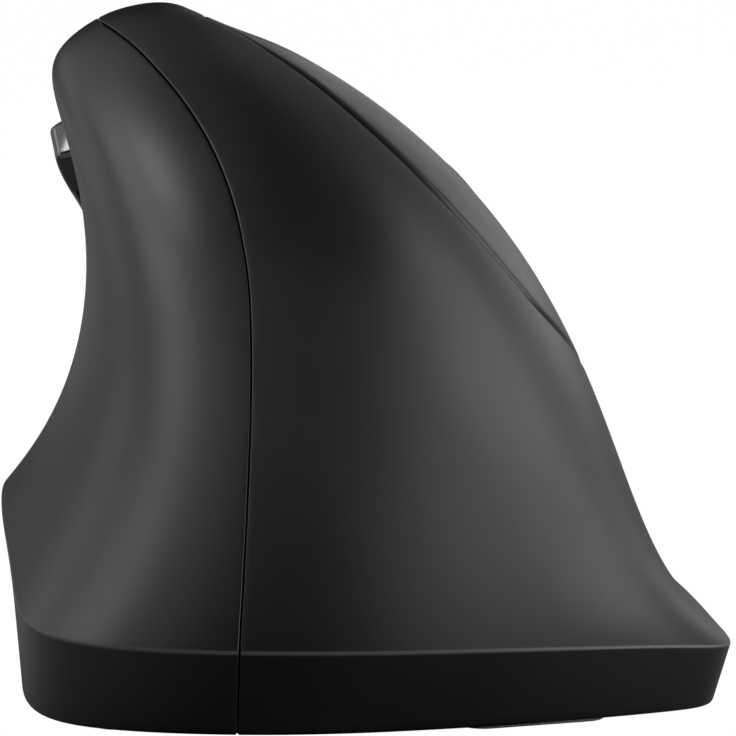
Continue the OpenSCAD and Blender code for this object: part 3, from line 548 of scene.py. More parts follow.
    def _close(
        self, inside: Field, rim: Field, u: Array, s: Array, value: Array, faces: list
    ) -> PanelMesh:
        """Give a cut patch its rounded rims, its inner side and its closed ends."""
        used = np.unique(np.concatenate([np.asarray(f) for f in faces]))
        back = np.full(len(u), -1)
        back[used] = np.arange(len(used))
        faces = [back[f].tolist() for f in faces]
        u, s, value = u[used], s[used], value[used]
        outer, within, out = self.skin.side(u, s), self.skin.inner(u, s), self.skin.normal(u, s)
        count = len(outer)
        points = [outer, within]
        # The lip round carries a painted highlight, strongest half way round it.
        painted_highlight = [np.sin(np.pi * np.clip(-s, 0, 1)), np.zeros(count)]
        total = 2 * count
        on_hem = s <= self.s[0, 0] + 1e-6
        marked = on_hem | (value == 0)
        loose = set()
        for f in faces:
            for k, a in enumerate(f):
                b = f[(k + 1) % len(f)]
                if marked[a] and marked[b]:
                    loose.add((a, b))
        loose = {e for e in loose if (e[1], e[0]) not in loose}
        closed = faces + [[count + k for k in reversed(f)] for f in faces]
        follow = {}
        for a, b in loose:
            if on_hem[a] and on_hem[b]:
                closed.append([b, a, count + a, count + b])
            else:
                follow[a] = b
        for path, is_loop in self._paths(follow):
            at = np.array(path)
            away = self._outward(inside, outer[at], out[at])
            radius = rim(outer[at])[:, None]
            lines = [at]
            for k in range(1, self.rim_steps + 1):
                angle = math.pi / 2 * k / self.rim_steps
                row = outer[at] + radius * (math.sin(angle) * away - (1 - math.cos(angle)) * out[at])
                points.append(row)
                # Each rim row carries a faint painted highlight, strongest half way round.
                painted_highlight.append(np.full(len(at), self.rim_painted_highlight * math.sin(2 * angle)))
                lines.append(total + np.arange(len(at)))
                total += len(at)
            lines.append(count + at)
            n = len(at)
            for first, second in zip(lines[:-1], lines[1:]):
                for k in range(n if is_loop else n - 1):
                    j = (k + 1) % n
                    closed.append([int(first[j]), int(first[k]), int(second[k]), int(second[j])])
            if not is_loop:
                closed.append([int(line[0]) for line in [lines[0]] + lines[:0:-1]])
                closed.append([int(line[-1]) for line in lines])
        return PanelMesh(np.concatenate(points), closed, np.concatenate(painted_highlight))

    @staticmethod
    def _paths(follow: dict[int, int]) -> list[tuple[list[int], bool]]:
        """Chain edges into runs, open ones first, with a mark for closed loops."""
        left = dict(follow)
        ends = set(left.values())
        runs = []
        for start in [a for a in left if a not in ends] + sorted(left):
            if start not in left:
                continue
            run = [start]
            while run[-1] in left:
                run.append(left.pop(run[-1]))
            is_loop = run[0] == run[-1]
            runs.append((run[:-1] if is_loop else run, is_loop))
        return runs

    @staticmethod
    def _outward(inside: Field, points: Array, normals: Array) -> Array:
        """Direction along the surface that leaves the panel."""
        step = 0.02
        slope = np.stack([inside(points + step * k) - inside(points - step * k) for k in np.eye(3)], -1)
        slope -= np.sum(slope * normals, -1, keepdims=True) * normals
        return -unit(slope)


# Meshes and pieces


def mesh_object(name: str, points: Array, faces: list) -> bpy.types.Object:
    """Make a smooth-shaded object from points in millimetres.

    Args:
        name: Name of the object.
        points: Vertices in millimetres.
        faces: Vertex numbers of each face.

    Returns:
        The object, linked to the scene.
    """
    mesh = bpy.data.meshes.new(name)
    mesh.from_pydata((np.asarray(points) * MM).tolist(), [], faces)
    mesh.validate()
    mesh.update()
    mesh.shade_smooth()
    mesh.set_sharp_from_angle(angle=math.radians(CRISP_ANGLE))
    made = bpy.data.objects.new(name, mesh)
    bpy.context.scene.collection.objects.link(made)
    return made


def settle(piece: bpy.types.Object, finish: Finish, body: Body, nodes: Sequence[str]) -> None:
    """Dress a piece and tie it to the frame.

    Args:
        piece: The finished object.
        finish: Its surface.
        body: Body that it rides on.
        nodes: Nodes of the frame that it stands for.
    """
    piece.data.materials.clear()
    piece.data.materials.append(finish.material())
    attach(piece, body.value)
    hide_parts(*nodes)
    log.info("%s: %d faces on %s", piece.name, len(piece.data.polygons), body.value)


def bake_tree(
    name: str, base: bpy.types.Object, tree: bpy.types.NodeTree, values: dict
) -> bpy.types.Object:
    """Run a Geometry Nodes tree once and keep its result as a plain mesh.

    Args:
        name: Name of the finished object.
        base: Object that the tree starts from, which is removed afterwards.
        tree: The tree.
        values: Value of each named input.

    Returns:
        The finished object, with no modifier.
    """
    modifier = base.modifiers.new(tree.name, "NODES")
    modifier.node_group = tree
    for item in tree.interface.items_tree:
        if item.item_type == "SOCKET" and item.in_out == "INPUT" and item.name in values:
            modifier[item.identifier] = values[item.name]
    graph = bpy.context.evaluated_depsgraph_get()
    mesh = bpy.data.meshes.new_from_object(base.evaluated_get(graph), depsgraph=graph)
    base.modifiers.remove(modifier)
    bpy.data.objects.remove(base)
    mesh.name = name
    mesh.shade_smooth()
    mesh.set_sharp_from_angle(angle=math.radians(CRISP_ANGLE))
    made = bpy.data.objects.new(name, mesh)
    bpy.context.scene.collection.objects.link(made)
    return made


def wire(tree: bpy.types.NodeTree, *links: tuple) -> None:
    """Link nodes.

    Args:
        tree: Tree that they stand in.
        links: For each link a node, its output, the next node and its input.
    """
    for source, out, target, into in links:
        tree.links.new(source.outputs[out], target.inputs[into])


def math_node(tree: bpy.types.NodeTree, operation: str, *values: object) -> bpy.types.NodeSocket:
    """Add a Math node.

    Args:
        tree: Tree that it joins.
        operation: What it works out.
        values: Sockets and numbers that go into it.

    Returns:
        Its output.
    """
    node = tree.nodes.new("ShaderNodeMath")
    node.operation = operation
    for socket, value in zip(node.inputs, values):
        if isinstance(value, float):
            socket.default_value = value
        else:
            tree.links.new(value, socket)
    return node.outputs["Value"]


def rib_tree(name: str, on_circle: bool) -> bpy.types.NodeTree:
    """Build the tree that adds a row of round ribs to a piece.

    Args:
        name: Name of the tree.
        on_circle: Whether the ribs stand round the Z axis, and not along X.

    Returns:
        The tree, with its sizes as named inputs in metres.
    """
    tree = bpy.data.node_groups.new(name, "GeometryNodeTree")
    sockets = {
        "Geometry": "Geometry", "Count": "Int", "Spread": "Float", "Length": "Float", "Radius": "Float",
        "Start": "Vector", "Direction": "Vector", "Material": "Material",
    }
    for label, kind in sockets.items():
        tree.interface.new_socket(label, in_out="INPUT", socket_type="NodeSocket" + kind)
    tree.interface.new_socket("Geometry", in_out="OUTPUT", socket_type="NodeSocketGeometry")
    new = tree.nodes.new
    start, end = new("NodeGroupInput"), new("NodeGroupOutput")
    if on_circle:
        row = new("GeometryNodeMeshCircle")
        wire(tree, (start, "Count", row, "Vertices"), (start, "Spread", row, "Radius"))
    else:
        row = new("GeometryNodeMeshLine")
        step = new("ShaderNodeCombineXYZ")
        wire(tree, (start, "Count", row, "Count"), (start, "Start", row, "Start Location"))
        wire(tree, (start, "Spread", step, "X"), (step, "Vector", row, "Offset"))
    spine = new("GeometryNodeCurvePrimitiveLine")
    spine.mode = "DIRECTION"
    shift = new("ShaderNodeVectorMath")
    shift.operation = "SCALE"
    tree.links.new(math_node(tree, "MULTIPLY", start.outputs["Length"], -0.5), shift.inputs["Scale"])
    profile = new("GeometryNodeCurvePrimitiveCircle")
    profile.inputs["Resolution"].default_value = RIB_SIDES
    sweep = new("GeometryNodeCurveToMesh")
    sweep.inputs["Fill Caps"].default_value = True
    place = new("GeometryNodeInstanceOnPoints")
    join = new("GeometryNodeJoinGeometry")
    real = new("GeometryNodeRealizeInstances")
    dress = new("GeometryNodeSetMaterial")
    wire(
        tree,
        (start, "Direction", shift, "Vector"),
        (shift, "Vector", spine, "Start"),
        (start, "Direction", spine, "Direction"),
        (start, "Length", spine, "Length"),
        (start, "Radius", profile, "Radius"),
        (spine, "Curve", sweep, "Curve"),
        (profile, "Curve", sweep, "Profile Curve"),
        (row, "Mesh", place, "Points"),
        (sweep, "Mesh", place, "Instance"),
        (place, "Instances", join, "Geometry"),
        (start, "Geometry", join, "Geometry"),
        (join, "Geometry", real, "Geometry"),
        (real, "Geometry", dress, "Geometry"),
        (start, "Material", dress, "Material"),
        (dress, "Geometry", end, "Geometry"),
    )
    return tree


# Finishes


def node_group(name: str, inputs: dict[str, float], outputs: Sequence[str]) -> tuple:
    """Start a shader node group.

    Args:
        name: Name of the group.
        inputs: Value inputs with their defaults; a Vector input comes first by itself.
        outputs: Value outputs.

    Returns:
        The group, its input node and its output node.
    """
    group = bpy.data.node_groups.new(name, "ShaderNodeTree")
    group.interface.new_socket("Vector", in_out="INPUT", socket_type="NodeSocketVector")
    for label, default in inputs.items():
        socket = group.interface.new_socket(label, in_out="INPUT", socket_type="NodeSocketFloat")
        socket.default_value = default
    for label in outputs:
        group.interface.new_socket(label, in_out="OUTPUT", socket_type="NodeSocketFloat")
    return group, group.nodes.new("NodeGroupInput"), group.nodes.new("NodeGroupOutput")


def grain_group() -> bpy.types.NodeTree:
    """Fine spark-eroded grain of moulded plastic, made once."""
    name = "moulded_grain"
    if name in bpy.data.node_groups:
        return bpy.data.node_groups[name]
    group, start, end = node_group(name, {"Scale": 3500.0}, ("Height", "Speckle"))
    fine = group.nodes.new("ShaderNodeTexNoise")
    fine.inputs["Detail"].default_value = 3.0
    fine.inputs["Roughness"].default_value = 0.6
    pits = group.nodes.new("ShaderNodeTexVoronoi")
    pits.feature = "SMOOTH_F1"
    for tex in (fine, pits):
        wire(group, (start, "Vector", tex, "Vector"), (start, "Scale", tex, "Scale"))
    height = math_node(group, "MULTIPLY_ADD", pits.outputs["Distance"], 0.6, fine.outputs["Fac"])
    group.links.new(height, end.inputs["Height"])
    wire(group, (fine, "Fac", end, "Speckle"))
    return group


def handling_group() -> bpy.types.NodeTree:
    """Broad, faint polish and dust from handling, made once."""
    name = "handling"
    if name in bpy.data.node_groups:
        return bpy.data.node_groups[name]
    group, start, end = node_group(name, {"Scale": 45.0, "Low": 0.0, "High": 1.0}, ("Mask",))
    cloud = group.nodes.new("ShaderNodeTexNoise")
    cloud.inputs["Detail"].default_value = 4.0
    spread = group.nodes.new("ShaderNodeMapRange")
    spread.inputs["From Min"].default_value = 0.32
    spread.inputs["From Max"].default_value = 0.68
    wire(
        group,
        (start, "Vector", cloud, "Vector"),
        (start, "Scale", cloud, "Scale"),
        (cloud, "Fac", spread, "Value"),
        (start, "Low", spread, "To Min"),
        (start, "High", spread, "To Max"),
        (spread, "Result", end, "Mask"),
    )
    return group


@dataclass(frozen=True)
class Finish:
    """One surface finish: its colour, gloss, grain, how it has been handled, and a highlight painted into its
    colour along lips and rims.
    """

    name: str
    color: tuple[float, float, float]
    roughness: float
    grain: float = 3500.0
    relief: float = 0.00004
    mottle: float = 0.12
    polish: float = 0.06
    specular: float = 0.5
    metallic: float = 0.0
    coat: float = 0.0
    clear: float = 0.0
    painted_highlight_gain: float = 1.0

    def material(self) -> bpy.types.Material:
        """Build the material once and return it."""
        if self.name in bpy.data.materials:
            return bpy.data.materials[self.name]
        made = bpy.data.materials.new(self.name)
        made.use_nodes = True
        tree = made.node_tree
        shader = tree.nodes["Principled BSDF"]
        shader.inputs["Metallic"].default_value = self.metallic
        shader.inputs["Specular IOR Level"].default_value = self.specular
        shader.inputs["Coat Weight"].default_value = self.coat
        shader.inputs["Coat Roughness"].default_value = 0.08
        shader.inputs["Transmission Weight"].default_value = self.clear
        place = tree.nodes.new("ShaderNodeTexCoord")
        grain = tree.nodes.new("ShaderNodeGroup")
        grain.node_tree = grain_group()
        grain.inputs["Scale"].default_value = self.grain
        hands = tree.nodes.new("ShaderNodeGroup")
        hands.node_tree = handling_group()
        hands.inputs["Low"].default_value = self.roughness - self.polish
        hands.inputs["High"].default_value = self.roughness + self.polish
        tint = tree.nodes.new("ShaderNodeMix")
        tint.data_type = "RGBA"
        dark = tuple(c * (1 - self.mottle) for c in self.color)
        light = tuple(min(1.0, c * (1 + self.mottle)) for c in self.color)
        tint.inputs["A"].default_value = (*dark, 1)
        tint.inputs["B"].default_value = (*light, 1)
        # Painted highlight: the vertex attribute lightens the base colour along lips and rims.
        edge = tree.nodes.new("ShaderNodeAttribute")
        edge.attribute_name = PAINTED_HIGHLIGHT
        highlight_paint_mix = tree.nodes.new("ShaderNodeMix")
        highlight_paint_mix.data_type = "RGBA"
        highlight_paint_mix.inputs["B"].default_value = (*(min(1.0, c * self.painted_highlight_gain) for c in self.color), 1)
        bump = tree.nodes.new("ShaderNodeBump")
        bump.inputs["Strength"].default_value = 1.0
        bump.inputs["Distance"].default_value = self.relief
        wire(
            tree,
            (place, "Object", grain, "Vector"),
            (place, "Object", hands, "Vector"),
            (hands, "Mask", shader, "Roughness"),
            (grain, "Speckle", tint, "Factor"),
            (edge, "Fac", highlight_paint_mix, "Factor"),
            (tint, "Result", highlight_paint_mix, "A"),
            (highlight_paint_mix, "Result", shader, "Base Color"),
            (grain, "Height", bump, "Height"),
            (bump, "Normal", shader, "Normal"),
        )
        return made


@dataclass(frozen=True)
class ShellFinish(Finish):
    """Shell plastic with the faint line that a slide of the mould leaves in the skirt."""

    line_foot: float = 10.0
    line_lean: float = 0.2
    line_width: float = 0.06
    line_top: float = 7.6
    line_rear: float = -40.0
    line_depth: float = 5.0

    def material(self) -> bpy.types.Material:
        """Build the material once, with the line cut into its grain."""
        if self.name in bpy.data.materials:
            return bpy.data.materials[self.name]
        made = super().material()
        tree = made.node_tree
        bump = next(n for n in tree.nodes if n.type == "BUMP")
        grain = bump.inputs["Height"].links[0].from_socket
        place = next(n for n in tree.nodes if n.type == "TEX_COORD")
        split = tree.nodes.new("ShaderNodeSeparateXYZ")
        tree.links.new(place.outputs["Object"], split.inputs["Vector"])

        x, y, z = (split.outputs[k] for k in "XYZ")
        along = math_node(tree, "MULTIPLY_ADD", z, -self.line_lean, x)
        away = math_node(tree, "ABSOLUTE", math_node(tree, "SUBTRACT", along, self.line_foot * MM))
        share = math_node(tree, "DIVIDE", away, self.line_width * MM)
        groove = math_node(tree, "MAXIMUM", math_node(tree, "SUBTRACT", 1.0, share), 0.0)
        for socket, limit in ((z, self.line_top), (y, self.line_rear)):
            groove = math_node(tree, "MULTIPLY", groove, math_node(tree, "LESS_THAN", socket, limit * MM))
        cut = math_node(tree, "MULTIPLY_ADD", groove, -self.line_depth, grain)
        tree.links.new(cut, bump.inputs["Height"])
        return made


# SHELL and BUTTON lighten their colour up to this many times where a highlight is painted on lips and rims.
SHELL = ShellFinish(
    "matte_shell_plastic", (0.0045, 0.0046, 0.0048), 0.38, grain=9000.0, relief=0.000006, painted_highlight_gain=18.0
)
BUTTON = Finish(
    "matte_button_plastic", (0.0047, 0.0048, 0.005), 0.37, grain=9000.0, relief=0.000006, painted_highlight_gain=7.0
)
KEY = Finish(
    "gloss_key_plastic", (0.004, 0.004, 0.0042), 0.09, grain=9000.0, relief=0.0000005, polish=0.02, coat=0.4
)
BASE = Finish("matte_base_plastic", (0.016, 0.0163, 0.0168), 0.5)
FRAME = Finish("grey_frame_plastic", (0.05, 0.052, 0.055), 0.5)
BOARD = Finish("green_board", (0.012, 0.09, 0.035), 0.35, relief=0.00001)
SWITCH = Finish("black_switch_plastic", (0.01, 0.01, 0.011), 0.4)
HUB = Finish("grey_wheel_plastic", (0.055, 0.057, 0.06), 0.35)
RUBBER = Finish("wheel_rubber", (0.014, 0.014, 0.0145), 0.65, grain=2200.0, relief=0.00006)
LENS = Finish("clear_lens", (0.8, 0.88, 0.9), 0.05, relief=0.0, polish=0.02, clear=0.9)
LED = Finish("red_led", (0.45, 0.02, 0.012), 0.15, relief=0.0, polish=0.03, coat=0.5)
CAN = Finish("cell_sleeve", (0.2, 0.205, 0.215), 0.3, relief=0.00001, coat=0.3)
PLATED = Finish("plated_steel", (0.56, 0.56, 0.54), 0.28, metallic=1.0)
SCREW = Finish("zinc_screw", (0.36, 0.36, 0.37), 0.32, metallic=1.0)
SLIDER = Finish("grey_slider_plastic", (0.13, 0.134, 0.14), 0.45)
FOOT = Finish("waxy_foot_plastic", (0.5, 0.5, 0.48), 0.4, relief=0.00001)

NODE_FINISHES = {
    "base_plate": BASE, "button_frame": FRAME, "wheel_cradle": FRAME,
    "button_pcb": BOARD, "thumb_pcb": BOARD, "main_pcb": BOARD,
    "left_switch": SWITCH, "right_switch": SWITCH, "dpi_switch": SWITCH, "middle_switch": SWITCH,
    "thumb_switches": SWITCH, "wheel_encoder": SWITCH, "sensor_chip": SWITCH, "power_switch": SWITCH,
    "sensor_lens": LENS, "sensor_led": LED, "left_cell": CAN, "right_cell": CAN,
    "battery_contacts": PLATED, "power_slider": SLIDER, "case_screws": SCREW, "wheel_hub": HUB,
}


# Sub-assemblies


@dataclass(frozen=True)
class Seams:
    """Where the panels of the housing part, in millimetres."""

    skin: Skin
    face: FacePlane
    panel_gap: float = 0.16
    panel_rim: float = 0.1
    seam: float = 0.6
    gap: float = 0.36
    palm_rim: float = 0.2
    click_rim: float = 0.6
    rear_gap: float = 0.7
    rear_rim: float = 1.5
    rear_start: float = 2.0
    rear_blend: float = 8.0
    crest_gap: float = 0.2
    crest_rim: float = 0.15
    crest_end: float = -25.0
    crest_blend: float = 12.0
    rim_share: float = 1.2
    nose_depth: float = 24.0
    nose_gap: float = 1.2
    strip_middle: float = 4.0
    strip_width: float = 12.0
    corner: float = 2.0
    thumb_net: tuple = (
        (-10, -8), (-9.5, 8), (-9.2, 14), (-8.9, 21), (-8.7, 29), (-8.9, 37), (-9.6, 42), (-10.9, 46.6),
        (-12.9, 50.8), (-15.4, 54.3), (-18.2, 57.2), (-21.6, 59.9), (-25.6, 61.7), (-32, 62.9), (-44, 63.3),
    )
    button_net: tuple = (
        (-26.6, 4), (-25.4, -2.8), (-21.6, -9.6), (-16, -14), (-10, -17.8), (-3.5, -20.6),
        (3.4, -22.2), (10.6, -22.2), (16.6, -19.8), (21, -14.6), (23.6, -10), (26.2, 0),
        (26.8, 12), (25.4, 26), (22.5, 40), (18, 52), (13, 64), (9.5, 64),
        (4.5, 56), (-1.5, 50), (-10.6, 40), (-17.6, 30), (-22.6, 20), (-25.8, 12),
    )
    cover_net: tuple = ((-60, 13), (-26, 13), (-2, 9), (10, 5.5), (26, 3), (60, 3))

    def thumb_side(self, q: Array) -> Array:
        """Distance past the thumb seam, above zero on the palm's side."""
        return line_distance(q[..., [0, 2]], line_through(self.thumb_net, 8), closed=False)

    def button_side(self, q: Array) -> Array:
        """Distance outside the click buttons' outline, in the finger face."""
        loop = spline_at(closed_spline(self.button_net), np.linspace(0, 4, 192, endpoint=False))
        return line_distance(self.face.to_local(q)[..., :2], loop, closed=True)

    def before_cover(self, local: Array) -> Array:
        """Distance in front of the middle of the seam at the fixed cover's front edge."""
        line = np.array(self.cover_net, float)
        return local[..., 1] - np.interp(local[..., 0], line[:, 0], line[:, 1]) - self.seam / 2

    def along_edge(self, local: Array, crest: float, front: float, rear: float) -> Array:
        """Blend a size along the finger face's outline.

        Args:
            local: Points seen from the face.
            crest: Size at the crest.
            front: Size beside the click buttons.
            rear: Size behind them, at the fixed cover.

        Returns:
            The size at each point.
        """
        behind = np.clip((-self.before_cover(local) - self.rear_start) / self.rear_blend, 0, 1)
        below = np.clip((local[..., 0] - self.crest_end) / self.crest_blend, 0, 1)
        cover = crest + (rear - crest) * below * below * (3 - 2 * below)
        return front + (cover - front) * behind

    def half_gap(self, local: Array) -> Array:
        """Half the seam round the finger face."""
        return self.along_edge(local, self.crest_gap, self.gap, self.rear_gap) / 2

    def outline_rim(self, local: Array) -> Array:
        """Radius of the finger face's outer rim."""
        return self.along_edge(local, self.crest_rim, self.click_rim, self.rear_rim)

    def edge_rim(self, q: Array) -> Array:
        """Radius of a finger panel's rim, on the outline and between the panels."""
        local = self.face.to_local(q)
        rim = self.outline_rim(local)
        on_outline = -self.button_side(q) < self.half_gap(local) + self.rim_share * rim
        return np.where(on_outline, rim, self.click_rim)

    def thumb_keep(self) -> float:
        """Distance that a panel's flat part keeps from the middle of the thumb seam."""
        return self.panel_gap / 2 + self.panel_rim

    def palm(self, q: Array) -> Array:
        """Field of the palm shell."""
        local = self.face.to_local(q)
        below = -(local[..., 2] + self.nose_depth + self.nose_gap + self.palm_rim)
        beside = self.button_side(q) - self.half_gap(local) - self.palm_rim
        outside = -soft_min(-beside, -below, self.corner)
        return np.minimum(self.thumb_side(q) - self.thumb_keep(), outside)

    def palm_rims(self, q: Array) -> Array:
        """Rim of the palm shell, finer along the thumb seam."""
        return np.where(self.thumb_side(q) < 2 * self.thumb_keep(), self.panel_rim, self.palm_rim)

    def finger_panel(self, q: Array) -> Array:
        """Field of the whole finger face inside its outline."""
        local = self.face.to_local(q)
        inside = -self.button_side(q) - self.half_gap(local) - self.outline_rim(local)
        above = local[..., 2] + self.nose_depth - self.click_rim
        return soft_min(inside, above, self.corner)

    def click(self, side: int) -> Field:
        """Field of one click button.

        Args:
            side: 1 for the lower one, on the right, and -1 for the upper one.

        Returns:
            The field.
        """
        start = (self.strip_width + self.seam + self.gap) / 2 + self.click_rim

        def inside(q: Array) -> Array:
            local = self.face.to_local(q)
            beside = side * (local[..., 0] - self.strip_middle) - start
            front = self.before_cover(local) - self.gap / 2 - self.click_rim
            return soft_min(soft_min(self.finger_panel(q), beside, self.corner), front, self.corner)

        return inside

    def strip(self, holes: Field, hole_rim: float) -> Field:
        """Field of the fixed cover and the tongue between the click buttons.

        Args:
            holes: Distance outside the holes in it.
            hole_rim: Radius of the holes' rims.

        Returns:
            The field.
        """
        half = (self.strip_width + self.seam - self.gap) / 2 - self.click_rim

        def inside(q: Array) -> Array:
            local = self.face.to_local(q)
            tongue = half - np.abs(local[..., 0] - self.strip_middle)
            cover = -self.before_cover(local) - self.gap / 2 - self.click_rim
            whole = soft_min(self.finger_panel(q), -soft_min(-tongue, -cover, self.corner), self.corner)
            return np.minimum(whole, holes(local) - hole_rim)

        return inside


@dataclass(frozen=True)
class ThumbKeys:
    """The two push keys for the thumb and the opening that they stand in."""

    thumb: FacePlane
    height: float = 10.0
    length: float = 14.4
    proud: float = 2.15
    ridge: float = 0.1
    lower_fall: float = 0.74
    upper_fall: float = 0.06
    ridge_round: float = 0.25
    gap: float = 0.3
    corner: float = 3.0
    corner_round: float = 1.0
    opening_reach: float = 9.0
    far: float = 5.0
    split: float = 0.8
    bevel: float = 0.7
    depth: float = 2.5
    flange: float = 0.4
    flange_reach: float = 0.9
    flange_gap: float = 0.08
    flange_corner: float = 0.6
    inset_steps: tuple = (0.86, 0.72, 0.58, 0.44, 0.3, 0.16)

    def outline(self, y0: float, y1: float, shrink: float, radius: float, clip: float) -> Array:
        """Draw a clipped rectangle with rounded corners.

        Args:
            y0: Rear end.
            y1: Front end.
            shrink: Distance that it is drawn in.
            radius: Radius of its corners.
            clip: Size of the clipped corners.

        Returns:
            Points of the outline, anticlockwise.
        """
        half = self.height / 2 - shrink
        p, q = y0 + shrink, y1 - shrink
        c = clip - shrink * (2 - math.sqrt(2))
        raw = np.array([
            [-half + c, p], [half - c, p], [half, p + c], [half, q - c],
            [half - c, q], [-half + c, q], [-half, q - c], [-half, p + c],
        ])
        out = []
        for k, corner in enumerate(raw):
            before, after = unit(raw[k - 1] - corner), unit(raw[(k + 1) % len(raw)] - corner)
            reach = radius * math.tan(math.radians(22.5))
            a, b = corner + before * reach, corner + after * reach
            for t in np.linspace(0, 1, 5):
                out.append((1 - t) ** 2 * a + 2 * t * (1 - t) * corner + t**2 * b)
            run = raw[(k + 1) % len(raw)] - corner - 2 * after * reach
            for t in np.linspace(0, 1, 14)[1:-1]:
                out.append(b + t * run)
        return np.array(out)

    def ends(self) -> tuple[float, float]:
        """Rear and front end of the pair."""
        return -self.length - self.split / 2, self.length + self.split / 2

    def opening(self, q: Array) -> Array:
        """Distance outside the pair's opening in the thumb panel."""
        local = self.thumb.to_local(q)
        loop = self.outline(*self.ends(), -self.gap, self.corner_round, self.corner)
        flat = line_distance(local[..., :2], loop, closed=True)
        return np.where(np.abs(local[..., 2]) < self.opening_reach, flat, np.abs(flat) + self.far)

    def crown(self, x: Array) -> Array:
        """Height of a key's top above the panel, with a rounded ridge along it."""
        past = 2 * x / self.height - self.ridge
        return self.proud * soft_min(1 + self.lower_fall * past, 1 - self.upper_fall * past, self.ridge_round)

    def build(self, rear: bool) -> tuple[Array, list]:
        """Shape one key.

        Args:
            rear: Whether it is the rear one.

        Returns:
            Its points and faces.
        """
        y0 = self.ends()[0] if rear else self.split / 2
        y1 = y0 + self.length
        held = self.flange_reach - (self.split - self.flange_gap) / 2
        span = (y0, y1 - held) if rear else (y0 + held, y1)
        foot = self.outline(*span, -self.flange_reach, self.flange_corner, self.flange_corner)
        side = self.outline(y0, y1, 0.0, self.corner_round, self.corner)
        loops = []
        for flat, rise in ((foot, 0.0), (foot, self.flange), (side, self.flange)):
            loops.append(self.thumb.over(flat[:, 0], flat[:, 1], np.full(len(flat), rise - self.depth)))
        for angle in np.radians([0, 18, 36, 54, 72, 90]):
            inset = self.bevel * (1 - math.cos(angle))
            line = self.outline(y0, y1, inset, self.corner_round, self.corner)
            drop = self.bevel * (1 - math.sin(angle))
            loops.append(self.thumb.over(line[:, 0], line[:, 1], self.crown(line[:, 0]) - drop))
        middle = np.array([self.ridge * self.height / 2, (y0 + y1) / 2])
        edge = self.outline(y0, y1, self.bevel, self.corner_round, self.corner)
        for share in self.inset_steps:
            line = middle + (edge - middle) * share
            loops.append(self.thumb.over(line[:, 0], line[:, 1], self.crown(line[:, 0])))
        tip = self.thumb.over(middle[:1], middle[1:], self.crown(middle[:1]))
        bottom = self.thumb.over(middle[:1], middle[1:], np.array([-self.depth]))
        return stack_loops(loops, tip, bottom)


def stack_loops(loops: list[Array], tip: Array, bottom: Array) -> tuple[Array, list]:
    """Join loops of equal length into a closed shape.

    Args:
        loops: Loops from the bottom to the top, anticlockwise from above.
        tip: Middle of the top.
        bottom: Middle of the bottom.

    Returns:
        Points and faces.
    """
    n = len(loops[0])
    points = np.concatenate([*loops, tip, bottom])
    faces = []
    for r in range(len(loops) - 1):
        for k in range(n):
            j = (k + 1) % n
            faces.append([r * n + k, r * n + j, (r + 1) * n + j, (r + 1) * n + k])
    top, low = len(points) - 2, len(points) - 1
    start = (len(loops) - 1) * n
    faces += [[start + k, start + (k + 1) % n, top] for k in range(n)]
    faces += [[(k + 1) % n, k, low] for k in range(n)]
    return points, faces


@dataclass(frozen=True)
class FingerControls:
    """The scroll wheel's slot and the speed button in the centre strip."""

    face: FacePlane
    strip_middle: float = 4.0
    wheel_forward: float = 30.0
    slot_shift: float = 1.5
    slot_width: float = 8.0
    slot_length: float = 23.5
    dpi_forward: float = 13.5
    dpi_width: float = 5.0
    dpi_length: float = 7.0
    dpi_gap: float = 0.3
    dpi_proud: float = 0.15
    dpi_dish: float = 0.24
    dpi_edge: tuple = (
        (0.0, -0.5), (0.06, -0.25), (0.2, -0.08), (0.42, 0.0), (0.9, -0.05), (1.5, -0.16), (2.1, -0.22),
    )
    depth: float = 2.4

    def holes(self, local: Array) -> Array:
        """Distance outside the strip's two holes."""
        x = local[..., 0] - self.strip_middle
        y = local[..., 1]
        wheel = slot_distance(x, y - self.wheel_forward - self.slot_shift, self.slot_width, self.slot_length)
        width, length = self.dpi_width + 2 * self.dpi_gap, self.dpi_length + 2 * self.dpi_gap
        return np.minimum(wheel, slot_distance(x, y - self.dpi_forward, width, length))

    def dpi_loop(self, shrink: float) -> Array:
        """Outline of the speed button, drawn in by a distance."""
        radius = self.dpi_width / 2 - shrink
        straight = (self.dpi_length - self.dpi_width) / 2
        out = []
        for sign, start in ((1, 0.0), (-1, math.pi)):
            for a in np.linspace(start, start + math.pi, 17):
                out.append((radius * math.cos(a), sign * straight + radius * math.sin(a)))
        return np.array(out) + (self.strip_middle, self.dpi_forward)

    def dpi_button(self) -> tuple[Array, list]:
        """Points and faces of the speed button."""
        rows = [(0.0, -self.depth)]
        rows += [(shrink, self.dpi_proud + rise) for shrink, rise in self.dpi_edge]
        loops = []
        for shrink, height in rows:
            line = self.dpi_loop(shrink)
            loops.append(self.face.over(line[:, 0], line[:, 1], np.full(len(line), height)))
        middle = (np.array([self.strip_middle]), np.array([self.dpi_forward]))
        tip = self.face.over(*middle, np.array([self.dpi_proud - self.dpi_dish]))
        bottom = self.face.over(*middle, np.array([-self.depth]))
        return stack_loops(loops, tip, bottom)


